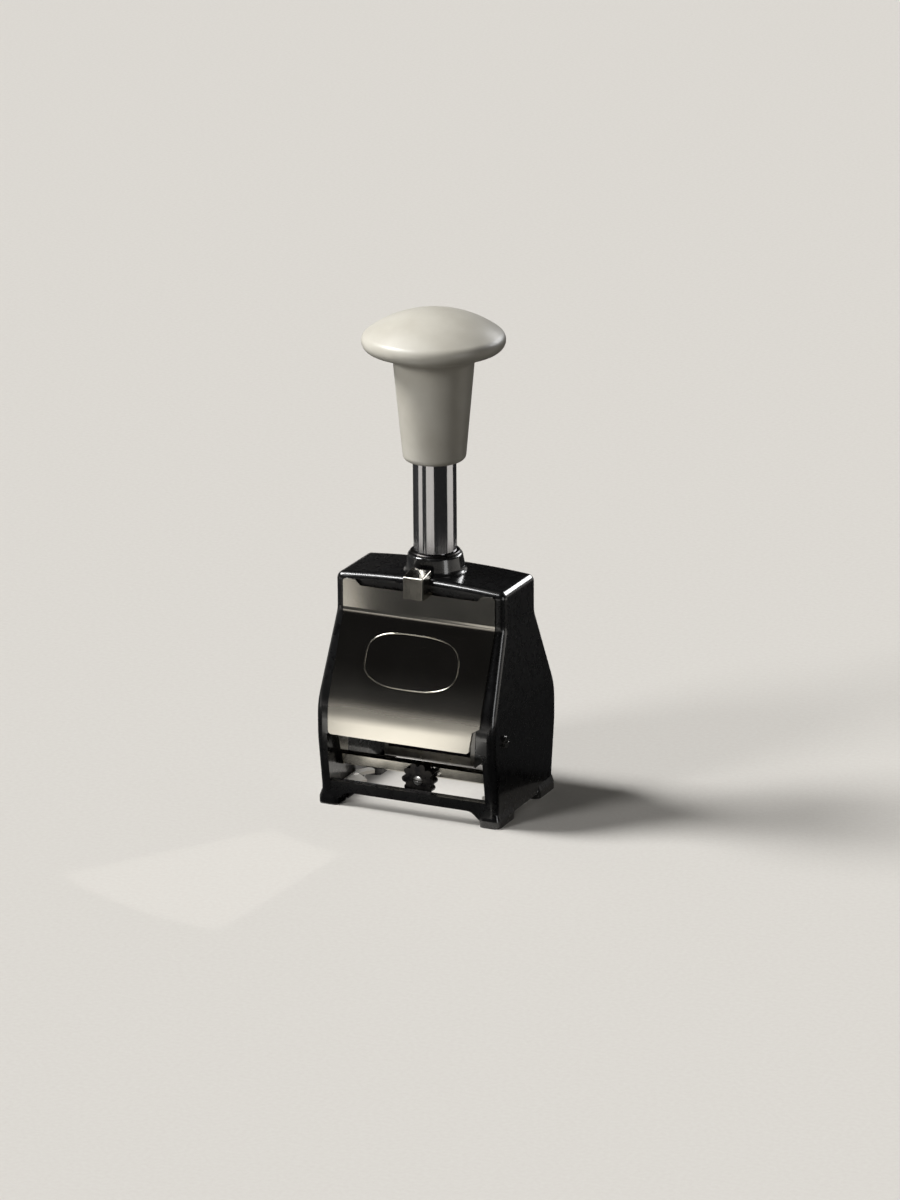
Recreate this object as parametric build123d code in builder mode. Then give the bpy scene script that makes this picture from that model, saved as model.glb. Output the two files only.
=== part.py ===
"""Hand numbering machine, made as the separate pieces it comes apart into.

All sizes are in millimetres.  +Z is up, +Y runs from the front plate to the
back plate and +X is the machine's right-hand side.  The origin lies on the
ground under the plunger's axis, midway between the feet.

The knob, stem and carriage go down together.  On the way down the two cam
studs in the frame turn the pad arms about the wheel axle, which swings the
ink pad out from under the number wheels, and turn the feed arm, whose pawl
steps the wheels on the way back up.
"""

import os
from math import atan2, cos, degrees, radians, sin, tan

from build123d import *

os.makedirs("parts", exist_ok=True)

# ------------------------------------------------------------ clearances ----
running_gap = 0.05        # radial, a shaft in its hole
side_gap = 0.3            # between pieces that pass or turn beside each other
fit_gap = 0.02            # round a piece that is seated and stays put

# ------------------------------------------------------------ the frame -----
frame_width = 64.0        # over the cheeks
head_inset = 1.6          # how far each cheek leans in, up to the shoulder
cheek_wall = 4.0
cheek_bend = 60.0         # the soft bends where a cheek starts and stops leaning
foot_half_depth = 22.6    # the side outline, from the foot up to the head
foot_height = 6.0
waist_bulge = 2.6         # how far the waist stands out beyond the feet
waist_low = 24.0
waist_high = 35.6
head_half_depth = 12.6
frame_height = 77.0
shoulder_drop = 12.5      # from the top of the head down to its shoulder
head_thickness = 11.0     # the solid part of the head
crown_rise = 1.5          # of the head's top in the middle
waist_round = 24.0
shoulder_round = 7.0
edge_round = 2.4          # round the top of the head and down the cheeks

foot_pad_height = 2.4     # the feet spread a little beyond the cheeks
foot_spread = 0.7
foot_pad_length = 14.0
foot_pad_width = 7.4
foot_pad_round = 2.0
arch_rise = 1.9           # under each cheek, between its two feet
arch_round = 1.5

bar_depth = 3.0           # the cast bars across the bottom, front and back
bar_bottom = 4.9
bar_height = 3.5
gusset_reach = 4.2        # where a bar runs out into the feet
gusset_round = 4.0

boss_base_radius = 10.4   # the collar that the stem comes out of
boss_top_radius = 8.9
boss_height = 5.9
boss_flare = 0.9          # where its flank curves out on to the head
boss_flare_round = 2.0
boss_top_round = 1.0
sleeve_radius = 11.6      # the same boss carried on inside the head

# ------------------------------------------------------------ the plates ----
rib_width = 4.75          # the cheek's edge that shows beside a plate
plate_thickness = 1.2
plate_proud = 0.5         # how far the face stands out of the frame
plate_bottom = 25.7
plate_top_drop = 1.4      # the plates' tabs end this far below the top of the head
plate_tab_width = 4.4
plate_tab_rise = 1.9
plate_tab_round = 0.8
plate_notch_width = 4.0   # cut from the front plate's bottom right corner
plate_notch_height = 9.0
plate_notch_slope = 1.5
plate_notch_taper = 1.4
plate_corner_round = 1.2
seat_flange = 2.5         # the frame's inner flange behind a plate
seat_width = 1.8          # how far that flange laps behind the plate's edge

# ------------------------------------------------------------ plunger -------
stroke = 18.0
stem_radius = 7.1
stem_bore_radius = 5.0
stem_socket = 28.4        # how far the stem reaches up into the knob
stem_chamfer = 0.6
bush_wall = 1.0
bush_flange_radius = 8.3
bush_flange_height = 0.7
bush_chamfer = 0.3

knob_clearance = 12.6     # left between knob and bush when the plunger is right down
knob_radius = 23.4
neck_top_radius = 13.4
neck_bottom_radius = 10.2
neck_length = 34.5
neck_corner = 2.0
neck_cove = 2.6
underside_slope = 18.5    # degrees, of the cap's underside
rim_round = 3.2
dome_height = 9.9

pin_radius = 2.0          # the guide pin through the stem's slots
pin_rise = 6.0            # above the sleeve's bottom
plug_length = 6.0
plug_inset = 2.0
spring_radius = 3.9       # to the middle of the wire
wire_size = 1.0
spring_turns = 11

# ------------------------------------------------------------ carriage ------
wheel_radius = 9.0        # over the faces of the figures
wheel_count = 6
wheel_pitch = 3.4
wheel_gap = 0.2           # between one wheel and the next
digits = 10
type_height = 0.9         # how far a figure's block stands out
type_length = 4.5         # the height of a printed figure
axle_radius = 2.5
axle_end = 1.0            # what shows of the axle beyond a nut
axle_chamfer = 0.4
ratchet_width = 0.8
ratchet_step = 0.5        # the ratchet's tips stand this far inside the drum
ratchet_depth = 0.8
ratchet_lean = 0.12       # the share of a tooth that its steep side takes

comb_room = 7.0           # from the figures up to the fork's block
yoke_block = 7.0          # the solid part of the fork
yoke_wall = 2.5
yoke_half_depth = 7.5
yoke_taper = 0.5
buffer_height = 3.7
buffer_radius = 10.6

comb_thickness = 0.6
comb_front = 1.5
comb_back = 4.6
comb_screw_x = 8.6
comb_screw_y = 1.0
comb_screw_length = 4.0
leaf_bend = 1.2
leaf_angle = 35.0         # where the leaves touch the wheels, back from the top
feed_bar_radius = 1.4
feed_bar_reach = 11.6     # from the axle to the bar that carries the pawl
feed_bar_angle = 95.0     # of that bar, up from the front
feed_bar_lobe = 2.4
pawl_wall = 0.8
pawl_lead = 24.0          # degrees from the bar to the fingers' tips, round the axle
pawl_tip_radius = 0.3
finger_side_gap = 0.15
arm_hub_radius = 4.6
arm_thickness = 1.5       # pad arms, outside the carriage
feed_thickness = 1.2      # feed arm, inside it
nut_radius = 4.2
nut_height = 2.2

stud_radius = 1.75        # cam studs, fixed in the frame
stud_y = 10.0
stud_drop = 1.0           # below the axle's height at rest
stud_boss_radius = 4.0
stud_boss_gap = 3.7       # from a pad arm to the stud's cast boss
stud_seat = 1.5           # how far a stud goes into the cheek
slot_wall = 1.6           # round a cam slot
pad_swing = 90.0          # degrees over the whole stroke
feed_swing = 60.0

pad_gap = 0.3             # from the figures to the pad's face
pad_half_length = 4.8
pad_thickness = 3.2
pad_round = 0.5
tray_wall = 1.2
tray_round = 1.0
tray_rim_drop = 0.7       # the tray's rim stands this far below the pad's face

# ------------------------------------------------------------ front end -----
selector_room = 0.5       # from the selector to the cast bar in front of it
bridge_depth = 3.1        # the nickel bar across the opening
bridge_bottom = 12.0
bridge_height = 4.1
bridge_chamfer = 0.5
lug_thickness = 1.4
lug_radius = 4.7
ear_radius = 4.2          # the ear that carries the selector
ear_drop = 0.5            # from the bar's underside to the selector's centre
selector_x = 2.0
selector_radius = 5.8
selector_thickness = 3.2
selector_points = 10
selector_lobe = 1.15
selector_stud_radius = 1.4
stud_head_radius = 1.9
stud_head_height = 0.6
screw_radius = 1.3
screw_head_radius = 1.95
screw_head_height = 0.9
screw_slot = 0.5
screw_lead = 0.8          # of the side screws, ahead of the bridge bar's face
screw_z = 28.3
small_screw_radius = 0.9
small_head_radius = 1.5
small_head_height = 0.7

sight_thickness = 1.2     # the two sighting plates beside the print
sight_top = 5.7
sight_screw_inset = 1.6
sight_screw_backs = (3.6, 12.6)  # their screws, back from the cast bar
sight_outline = [         # reach in from the cheek, back from the cast bar, corner's radius
    (0.0, 0.4, 0),
    (0.0, 16.3, 0),
    (3.2, 21.2, 0.5),
    (5.6, 19.0, 0.4),
    (3.2, 16.2, 0.8),
    (2.2, 13.6, 0.3),
    (7.1, 9.8, 0.6),
    (6.2, 7.6, 0.5),
    (4.0, 4.2, 2.0),
    (5.4, 0.4, 0),
]
ledge_width = 3.2         # the cast ledges that they are screwed to
ledge_back = 4.0

button_width = 7.2
button_reach = 4.9        # how far it stands out in front of the head
button_inset = 1.6
button_rise = 4.4         # above the head's top edge
button_height = 8.6
button_slope = 1.2        # its top falls this much towards the front
button_travel = 2.0
button_round = 0.7
button_side_round = 0.5
button_tongue = 0.8       # the small flange that keeps it in
tongue_height = 1.4
button_spring_radius = 1.5
button_spring_depth = 3.6
button_spring_drop = 1.0
button_spring_turns = 5
button_wire = 0.35

# ------------------------------------------------------------ worked out ----
half_width = frame_width / 2
inner_half = half_width - cheek_wall
head_half = half_width - head_inset
waist_half_depth = foot_half_depth + waist_bulge
shoulder_height = frame_height - shoulder_drop
head_underside = frame_height - head_thickness
crown_top = frame_height + crown_rise
boss_top = crown_top + boss_height
overlap = 0.5             # how far a boss or ledge runs into the wall that carries it

plate_width = frame_width - 2 * rib_width
plate_tab_top = frame_height - plate_top_drop
plate_back = plate_thickness - plate_proud
seat_half = plate_width / 2 - seat_width
bar_top = bar_bottom + bar_height
ledge_top = sight_top - sight_thickness
ledge_front = foot_half_depth - bar_depth
foot_taper = degrees(atan2(foot_spread, ledge_top - foot_pad_height)) + 1
sight_screw_x = inner_half - sight_screw_inset

neck_bottom = boss_top + bush_flange_height + stroke + knob_clearance
neck_top = neck_bottom + neck_length
stem_top = neck_bottom + stem_socket
plug_bottom = stem_top - plug_inset - plug_length
bush_radius = stem_radius + running_gap + bush_wall

axle_height = wheel_radius + stroke
yoke_bottom = axle_height + wheel_radius + comb_room
yoke_top = yoke_bottom + yoke_block
sleeve_bottom = yoke_top + buffer_height + side_gap
pin_height = sleeve_bottom + pin_rise
comb_top = yoke_bottom - fit_gap
drum_width = wheel_pitch - wheel_gap - ratchet_width
drum_radius = wheel_radius - type_height
ratchet_radius = drum_radius - ratchet_step
stack_half = wheel_count * wheel_pitch / 2
feed_inner = stack_half + side_gap
feed_outer = feed_inner + feed_thickness
yoke_inner = feed_outer + side_gap
yoke_outer = yoke_inner + yoke_wall
arm_inner = yoke_outer + side_gap
arm_outer = arm_inner + arm_thickness
nut_inner = arm_outer + side_gap
axle_half = nut_inner + nut_height + axle_end

stud_z = axle_height - stud_drop
stud_inner = feed_inner - running_gap
stud_outer = inner_half + stud_seat
stud_boss_face = arm_outer + stud_boss_gap
pad_face = wheel_radius + pad_gap
tray_rim = pad_face + tray_rim_drop
tray_floor = pad_face + pad_thickness
tray_bottom = tray_floor + tray_wall
tray_half = pad_half_length + tray_wall + fit_gap
pad_per_mm = radians(pad_swing) / stroke
feed_per_mm = radians(feed_swing) / stroke

selector_z = bridge_bottom - ear_drop
bridge_front = ledge_front - selector_room - selector_thickness - side_gap
screw_y = -bridge_front - screw_lead
sight_screw_ys = [back - ledge_front for back in sight_screw_backs]
selector_back = bridge_front + side_gap
selector_front = selector_back + selector_thickness
button_front = head_half_depth + button_reach
button_back = head_half_depth - button_inset
button_top = frame_height + button_rise
button_bottom = button_top - button_height
button_spring_z = (button_bottom + button_top) / 2 - button_spring_drop
pocket_back = button_back - button_travel - side_gap


def side_outline(grow=0.0, above=0.0):
    """The frame's side outline on the YZ plane, grown outwards by grow and carried on up by above."""
    corners = [
        (foot_half_depth, 0),
        (foot_half_depth, foot_height),
        (waist_half_depth, waist_low),
        (waist_half_depth, waist_high),
        (head_half_depth, shoulder_height),
        (head_half_depth, frame_height + above),
    ]
    rounds = [0, waist_round, waist_round, waist_round, shoulder_round, 0]
    mirrored = [(-y, z) for y, z in reversed(corners)]
    with BuildSketch(Plane.YZ) as outline:
        with BuildLine():
            FilletPolyline(*corners, *mirrored, radius=rounds + rounds[::-1], close=True)
        make_face()
        if grow:
            offset(amount=grow, kind=Kind.INTERSECTION)
    return outline


def plate_sheet(width):
    """A sheet of the plates' thickness that follows the frame's outline all round."""
    with BuildPart() as sheet:
        extrude(side_outline(plate_proud).sketch, amount=width / 2, both=True)
        extrude(side_outline(-plate_back).sketch, amount=width, both=True, mode=Mode.SUBTRACT)
    return sheet.part


def cam_slot_points(swing_per_mm, steps=9):
    """Where the cam stud lies in an arm's own frame as the carriage goes down.

    The points are measured from the axle, as (y, z), with the arm at rest.
    """
    points = []
    for step in range(steps + 1):
        drop = stroke * step / steps
        turn = swing_per_mm * drop
        y = stud_y
        z = stud_z - axle_height + drop
        points.append((y * cos(turn) + z * sin(turn), z * cos(turn) - y * sin(turn)))
    return points


def cam_slot(swing_per_mm):
    """The slot that the stud runs in, drawn on the YZ plane about the axle."""
    path = cam_slot_points(swing_per_mm)
    width = 2 * (stud_radius + side_gap)
    with BuildSketch(Plane.YZ) as slot:
        with BuildLine() as centre:
            Spline(*path)
        trace(centre.line, line_width=width)
        for end in (path[0], path[-1]):
            with Locations(end):
                Circle(width / 2)
    return slot


# ============================================================ frame ========
with BuildPart() as frame_casting:
    # cheeks and head in one: the side outline, narrowed towards the top
    extrude(side_outline(0, 2 * crown_rise).sketch, amount=half_width, both=True)
    with BuildSketch(Plane.XZ) as front_outline:
        with BuildLine():
            FilletPolyline(
                (head_half, frame_height),
                (head_half, shoulder_height),
                (half_width, waist_high),
                (half_width, 0),
                (-half_width, 0),
                (-half_width, waist_high),
                (-head_half, shoulder_height),
                (-head_half, frame_height),
                radius=[cheek_bend, cheek_bend, 0, 0, cheek_bend, cheek_bend],
            )
            ThreePointArc((-head_half, frame_height), (0, crown_top), (head_half, frame_height))
        make_face()
    extrude(amount=waist_half_depth * 2, both=True, mode=Mode.INTERSECT)

    # one soft edge runs round the top of the head and down the cheeks' corners
    above_ground = frame_casting.edges().filter_by(lambda e: e.center().Z > fit_gap)
    crown = above_ground.filter_by(lambda e: e.center().Z > frame_height - fit_gap)
    corners = above_ground.filter_by(
        lambda e: abs(e.center().X) > head_half - fit_gap and abs(e.center().Y) > head_half_depth - fit_gap
    )
    fillet(crown + corners, radius=edge_round)

    # the hollow between the cheeks, open to the front and back
    with BuildSketch(Plane.YZ) as hollow_outline:
        add(side_outline(-plate_back - seat_flange).sketch_local)
        with Locations((0, (head_underside + frame_height) / 2)):
            Rectangle(2 * waist_half_depth, frame_height - head_underside, mode=Mode.SUBTRACT)
    extrude(amount=inner_half, both=True, mode=Mode.SUBTRACT)
    with Locations((0, 0, head_underside / 2)):
        Box(2 * seat_half, 4 * waist_half_depth, head_underside, mode=Mode.SUBTRACT)
    with Locations((0, 0, plate_bottom / 2)):
        Box(2 * inner_half, 4 * waist_half_depth, plate_bottom, mode=Mode.SUBTRACT)

    # the shallow seats that the two plates lie in
    with BuildSketch(Plane.YZ) as seat_outline:
        with Locations((0, (plate_bottom + plate_tab_top + fit_gap) / 2)):
            Rectangle(4 * waist_half_depth, plate_tab_top + fit_gap - plate_bottom)
        add(side_outline(-plate_back - fit_gap).sketch_local, mode=Mode.SUBTRACT)
    extrude(amount=plate_width / 2 + fit_gap, both=True, mode=Mode.SUBTRACT)

    # the boss on the head, and its sleeve inside
    with BuildSketch(Plane.XZ) as boss_outline:
        with BuildLine():
            FilletPolyline(
                (0, head_underside),
                (boss_base_radius, head_underside),
                (boss_base_radius, crown_top),
                (boss_top_radius + boss_flare, crown_top + boss_flare),
                (boss_top_radius, boss_top),
                (0, boss_top),
                radius=[0, 0, 0, boss_flare_round, boss_top_round, 0],
                close=True,
            )
        make_face()
    revolve(axis=Axis.Z)
    with BuildSketch(Plane.XY.offset(sleeve_bottom)):
        Circle(sleeve_radius)
    extrude(amount=head_underside - sleeve_bottom)

    # the arch under each cheek
    with BuildSketch(Plane.YZ) as arch_outline:
        arch_half = foot_half_depth - foot_pad_length
        with BuildLine():
            FilletPolyline(
                (-arch_half - arch_rise, -arch_rise),
                (-arch_half - arch_rise, 0),
                (-arch_half, arch_rise),
                (arch_half, arch_rise),
                (arch_half + arch_rise, 0),
                (arch_half + arch_rise, -arch_rise),
                radius=[0, arch_round, arch_round, arch_round, arch_round, 0],
                close=True,
            )
        make_face()
    extrude(amount=half_width * 2, both=True, mode=Mode.SUBTRACT)

    # four feet that spread beyond the cheeks and taper back into them
    pad_centre_x = half_width + foot_spread - foot_pad_width / 2
    pad_centre_y = foot_half_depth - foot_pad_length / 2 + foot_spread / 2
    with BuildSketch(Plane.XY) as feet:
        with GridLocations(2 * pad_centre_x, 2 * pad_centre_y, 2, 2):
            RectangleRounded(foot_pad_width, foot_pad_length, foot_pad_round)
    extrude(amount=foot_pad_height)
    with BuildSketch(Plane.XY.offset(foot_pad_height)) as foot_tapers:
        with GridLocations(2 * pad_centre_x, 2 * pad_centre_y, 2, 2):
            RectangleRounded(foot_pad_width, foot_pad_length, foot_pad_round)
    extrude(amount=ledge_top - foot_pad_height, taper=foot_taper)

    # the two bars across the bottom, run out into the feet
    gusset_edge = inner_half - foot_pad_height / 2
    with BuildSketch(Plane.XZ) as bar_outline:
        with BuildLine():
            FilletPolyline(
                (-inner_half - overlap, bar_top),
                (-inner_half - overlap, foot_pad_height / 2),
                (-gusset_edge, foot_pad_height / 2),
                (-gusset_edge + gusset_reach, bar_bottom),
                (gusset_edge - gusset_reach, bar_bottom),
                (gusset_edge, foot_pad_height / 2),
                (inner_half + overlap, foot_pad_height / 2),
                (inner_half + overlap, bar_top),
                radius=[0, 0, 0, gusset_round, gusset_round, 0, 0, 0],
                close=True,
            )
        make_face()
    for outer_face in (foot_half_depth, bar_depth - foot_half_depth):
        extrude(bar_outline.sketch.moved(Location((0, outer_face, 0))), amount=bar_depth)

    # ledges for the sighting plates, and bosses for the cam studs
    for side in (-1, 1):
        with Locations((side * (inner_half - ledge_width), -ledge_front, arch_rise)):
            Box(
                ledge_width + overlap,
                ledge_front - ledge_back,
                ledge_top - arch_rise,
                align=(Align.MIN if side > 0 else Align.MAX, Align.MIN, Align.MIN),
            )
        with Locations(Plane.YZ.offset(side * stud_boss_face) * Location((stud_y, stud_z, 0))):
            Cylinder(
                stud_boss_radius,
                inner_half + overlap - stud_boss_face,
                align=(Align.CENTER, Align.CENTER, Align.MIN if side > 0 else Align.MAX),
            )

    # bores: the bush, the guide pin, the cam studs and the side screws
    with Locations((0, 0, frame_height / 2 + sleeve_bottom / 2)):
        Cylinder(bush_radius + fit_gap, frame_height, mode=Mode.SUBTRACT)
    with Locations(Location((0, 0, pin_height), (0, 90, 0))):
        Cylinder(pin_radius + fit_gap, 4 * sleeve_radius, mode=Mode.SUBTRACT)
    for side in (-1, 1):
        with Locations(Location((side * stud_outer, stud_y, stud_z), (0, 90, 0))):
            Cylinder(
                stud_radius + fit_gap,
                stud_outer - stud_boss_face + overlap,
                align=(Align.CENTER, Align.CENTER, Align.MAX if side > 0 else Align.MIN),
                mode=Mode.SUBTRACT,
            )
        with Locations(Location((side * half_width, screw_y, screw_z), (0, 90, 0))):
            Cylinder(screw_radius + fit_gap, 4 * cheek_wall, mode=Mode.SUBTRACT)
        for y in sight_screw_ys:
            with Locations((side * sight_screw_x, y, 0)):
                Cylinder(small_screw_radius + fit_gap, 4 * ledge_top, mode=Mode.SUBTRACT)
                Cylinder(small_head_radius + fit_gap, 2 * arch_rise, mode=Mode.SUBTRACT)

    # the pocket of the lock button, with a groove each side for its tongues
    with Locations((0, -pocket_back, button_bottom - running_gap)):
        Box(
            button_width + 2 * running_gap,
            button_front,
            frame_height,
            align=(Align.CENTER, Align.MAX, Align.MIN),
            mode=Mode.SUBTRACT,
        )
        Box(
            button_width + 2 * (button_tongue + running_gap),
            button_front,
            tongue_height + 2 * running_gap,
            align=(Align.CENTER, Align.MAX, Align.MIN),
            mode=Mode.SUBTRACT,
        )
frame_casting.part.label = "frame_casting"
export_step(frame_casting.part, "parts/frame_casting.step")

# ============================================================ plates =======
def plate_outline(with_button, with_notch):
    """A plate seen from the front, as a sketch on the XZ plane."""
    edge = plate_width / 2
    sill = plate_tab_top - plate_tab_rise
    left = [(-edge, plate_bottom), (-edge, plate_tab_top), (-edge + plate_tab_width, plate_tab_top)]
    left += [(-edge + plate_tab_width + plate_tab_rise, sill)]
    right = [(-x, z) for x, z in reversed(left)]
    rounds = [plate_corner_round, plate_corner_round, plate_tab_round, plate_tab_round]
    rounds = rounds + rounds[::-1]
    if with_notch:
        notch_top = plate_bottom + plate_notch_height
        right[-1:] = [
            (edge, notch_top),
            (edge - plate_notch_width + plate_notch_taper, notch_top - plate_notch_slope),
            (edge - plate_notch_width, plate_bottom),
        ]
        rounds[-1:] = [plate_tab_round, plate_tab_round, plate_corner_round]
    with BuildSketch(Plane.XZ) as outline:
        with BuildLine():
            FilletPolyline(*left, *right, radius=rounds, close=True)
        make_face()
        if with_button:
            with Locations((0, button_bottom - running_gap)):
                Rectangle(
                    button_width + 2 * running_gap,
                    frame_height,
                    align=(Align.CENTER, Align.MIN),
                    mode=Mode.SUBTRACT,
                )
    return outline.sketch


with BuildPart() as front_plate:
    add(plate_sheet(plate_width))
    extrude(plate_outline(True, True), amount=2 * waist_half_depth, mode=Mode.INTERSECT)
front_plate.part.label = "front_plate"
export_step(front_plate.part, "parts/front_plate.step")

with BuildPart() as rear_plate:
    add(plate_sheet(plate_width))
    extrude(plate_outline(False, False), amount=-2 * waist_half_depth, mode=Mode.INTERSECT)
rear_plate.part.label = "rear_plate"
export_step(rear_plate.part, "parts/rear_plate.step")


# ============================================================ front end ====
with BuildPart() as bridge_bar:
    # the bar, its hanging ear, and a lug at each end that turns up to the side screws
    with Locations((0, -bridge_front, bridge_bottom)):
        Box(
            2 * (inner_half - fit_gap),
            bridge_depth,
            bridge_height,
            align=(Align.CENTER, Align.MIN, Align.MIN),
        )
    chamfer(bridge_bar.edges().filter_by(Axis.X), length=bridge_chamfer)
    with BuildSketch(Plane.XZ.offset(bridge_front)) as ear:
        with Locations((selector_x, selector_z)):
            Circle(ear_radius)
    extrude(amount=-bridge_depth / 2)
    with BuildSketch(Plane.YZ) as lug_outline:
        with Locations((screw_y, screw_z)):
            Circle(lug_radius)
        with Locations((-bridge_front + bridge_depth / 2, bridge_bottom + bridge_height / 2)):
            Rectangle(bridge_depth, bridge_height)
        make_hull()
        with Locations((screw_y, screw_z)):
            Circle(screw_radius + fit_gap, mode=Mode.SUBTRACT)
    for side in (-1, 1):
        lug_face = side * (inner_half - fit_gap)
        lug = lug_outline.sketch.moved(Location((lug_face, 0, 0)))
        extrude(lug, amount=lug_thickness, dir=(-side, 0, 0))
    with Locations(Location((selector_x, -bridge_front, selector_z), (90, 0, 0))):
        Cylinder(selector_stud_radius + fit_gap, 2 * bridge_depth, mode=Mode.SUBTRACT)
bridge_bar.part.label = "bridge_bar"
export_step(bridge_bar.part, "parts/bridge_bar.step")

with BuildPart() as side_screws:
    for side in (-1, 1):
        out = Align.MIN if side > 0 else Align.MAX
        back = Align.MAX if side > 0 else Align.MIN
        with Locations(Location((side * half_width, screw_y, screw_z), (0, 90, 0))):
            Cylinder(screw_head_radius, screw_head_height, align=(Align.CENTER, Align.CENTER, out))
            Cylinder(
                screw_radius,
                cheek_wall + fit_gap + lug_thickness,
                align=(Align.CENTER, Align.CENTER, back),
            )
        with Locations((side * (half_width + screw_head_height), screw_y, screw_z)):
            Box(screw_head_height, 2 * screw_head_radius, screw_slot, mode=Mode.SUBTRACT)
side_screws.part.label = "side_screws"
export_step(side_screws.part, "parts/side_screws.step")

with BuildPart() as selector_stud:
    with BuildSketch(Plane.XZ.offset(bridge_front - bridge_depth / 2)) as stud_shank:
        with Locations((selector_x, selector_z)):
            Circle(selector_stud_radius)
    extrude(amount=selector_front - bridge_front + bridge_depth / 2)
    with BuildSketch(Plane.XZ.offset(selector_front)) as stud_head:
        with Locations((selector_x, selector_z)):
            Circle(stud_head_radius)
    extrude(amount=-stud_head_height)
selector_stud.part.label = "selector_stud"
export_step(selector_stud.part, "parts/selector_stud.step")

with BuildPart() as selector_wheel:
    with BuildSketch(Plane.XZ.offset(selector_back)) as star:
        with Locations((selector_x, selector_z)):
            Circle(selector_radius - selector_lobe)
            with PolarLocations(selector_radius - selector_lobe, selector_points):
                Circle(selector_lobe)
            Circle(selector_stud_radius + running_gap, mode=Mode.SUBTRACT)
    extrude(amount=selector_thickness)
    with BuildSketch(Plane.XZ.offset(selector_front)) as stud_seat:
        with Locations((selector_x, selector_z)):
            Circle(stud_head_radius + running_gap)
    extrude(amount=-stud_head_height - running_gap, mode=Mode.SUBTRACT)
selector_wheel.part.label = "selector_wheel"
export_step(selector_wheel.part, "parts/selector_wheel.step")

for name, side in (("sight_plate_left", -1), ("sight_plate_right", 1)):
    with BuildPart() as sight_plate:
        with BuildSketch(Plane.XY.offset(ledge_top)) as pointer:
            with BuildLine():
                FilletPolyline(
                    [(side * (inner_half - reach), back - ledge_front) for reach, back, _ in sight_outline],
                    radius=[corner for _, _, corner in sight_outline],
                    close=True,
                )
            make_face()
            with Locations(*[(side * sight_screw_x, y) for y in sight_screw_ys]):
                Circle(small_screw_radius + fit_gap, mode=Mode.SUBTRACT)
        extrude(amount=sight_thickness)
    sight_plate.part.label = name
    export_step(sight_plate.part, f"parts/{name}.step")

with BuildPart() as sight_screws:
    for side in (-1, 1):
        with Locations(*[(side * sight_screw_x, y, arch_rise) for y in sight_screw_ys]):
            Cylinder(
                small_head_radius,
                small_head_height,
                align=(Align.CENTER, Align.CENTER, Align.MAX),
            )
            Cylinder(
                small_screw_radius,
                sight_top - arch_rise,
                align=(Align.CENTER, Align.CENTER, Align.MIN),
            )
sight_screws.part.label = "sight_screws"
export_step(sight_screws.part, "parts/sight_screws.step")

with BuildPart() as lock_button:
    with BuildSketch(Plane.YZ) as button_outline:
        with BuildLine():
            FilletPolyline(
                (-button_back, button_bottom),
                (-button_front, button_bottom),
                (-button_front, button_top - button_slope),
                (-button_back, button_top),
                radius=[0, 0, button_round, 0],
                close=True,
            )
        make_face()
    extrude(amount=button_width / 2, both=True)
    fillet(lock_button.edges().filter_by(Axis.Z).group_by(Axis.Y)[0], radius=button_side_round)
    tongue_front = head_half_depth - plate_back - running_gap
    with Locations((0, -tongue_front, button_bottom)):
        Box(
            button_width + 2 * button_tongue,
            tongue_front - button_back,
            tongue_height,
            align=(Align.CENTER, Align.MIN, Align.MIN),
        )
    with Locations(Location((0, -button_back, button_spring_z), (90, 0, 0))):
        Cylinder(button_spring_radius, 2 * button_spring_depth, mode=Mode.SUBTRACT)
lock_button.part.label = "lock_button"
export_step(lock_button.part, "parts/lock_button.step")

with BuildPart() as button_spring:
    coil_start = pocket_back + button_wire / 2 + fit_gap
    coil_length = button_back + button_spring_depth - fit_gap - button_wire - coil_start
    with BuildLine() as coil:
        Helix(
            pitch=coil_length / button_spring_turns,
            height=coil_length,
            radius=button_spring_radius - button_wire / 2 - side_gap / 2,
            center=(0, -coil_start, button_spring_z),
            direction=(0, -1, 0),
        )
    with BuildSketch(Plane(origin=coil.line @ 0, z_dir=coil.line % 0)):
        Rectangle(button_wire, button_wire)
    sweep(is_frenet=True)
button_spring.part.label = "button_spring"
export_step(button_spring.part, "parts/button_spring.step")


# ============================================================ plunger ======
with BuildPart() as stem_bush:
    with Locations((0, 0, sleeve_bottom)):
        Cylinder(bush_radius, boss_top - sleeve_bottom, align=(Align.CENTER, Align.CENTER, Align.MIN))
    with Locations((0, 0, boss_top)):
        Cylinder(
            bush_flange_radius,
            bush_flange_height,
            align=(Align.CENTER, Align.CENTER, Align.MIN),
        )
    chamfer(stem_bush.edges().group_by(Axis.Z)[-1], length=bush_chamfer)
    with Locations((0, 0, frame_height)):
        Cylinder(stem_radius + running_gap, 2 * frame_height, mode=Mode.SUBTRACT)
    with Locations(Location((0, 0, pin_height), (0, 90, 0))):
        Cylinder(pin_radius + fit_gap, 4 * bush_radius, mode=Mode.SUBTRACT)
stem_bush.part.label = "stem_bush"
export_step(stem_bush.part, "parts/stem_bush.step")

with BuildPart() as guide_pin:
    with Locations(Location((0, 0, pin_height), (0, 90, 0))):
        Cylinder(pin_radius, 2 * sleeve_radius)
guide_pin.part.label = "guide_pin"
export_step(guide_pin.part, "parts/guide_pin.step")

with BuildPart() as stem_tube:
    with BuildSketch(Plane.XY.offset(yoke_bottom)):
        Circle(stem_radius)
        Circle(stem_bore_radius, mode=Mode.SUBTRACT)
    extrude(amount=stem_top - yoke_bottom)
    chamfer(stem_tube.edges().group_by(Axis.Z)[-1], length=stem_chamfer)
    slot_width = 2 * (pin_radius + running_gap)
    with BuildSketch(Plane.YZ) as slot_outline:
        with Locations((0, pin_height + stroke / 2)):
            SlotOverall(stroke + 2 * side_gap + slot_width, slot_width, rotation=90)
    extrude(amount=2 * stem_radius, both=True, mode=Mode.SUBTRACT)
stem_tube.part.label = "stem_tube"
export_step(stem_tube.part, "parts/stem_tube.step")

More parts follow.
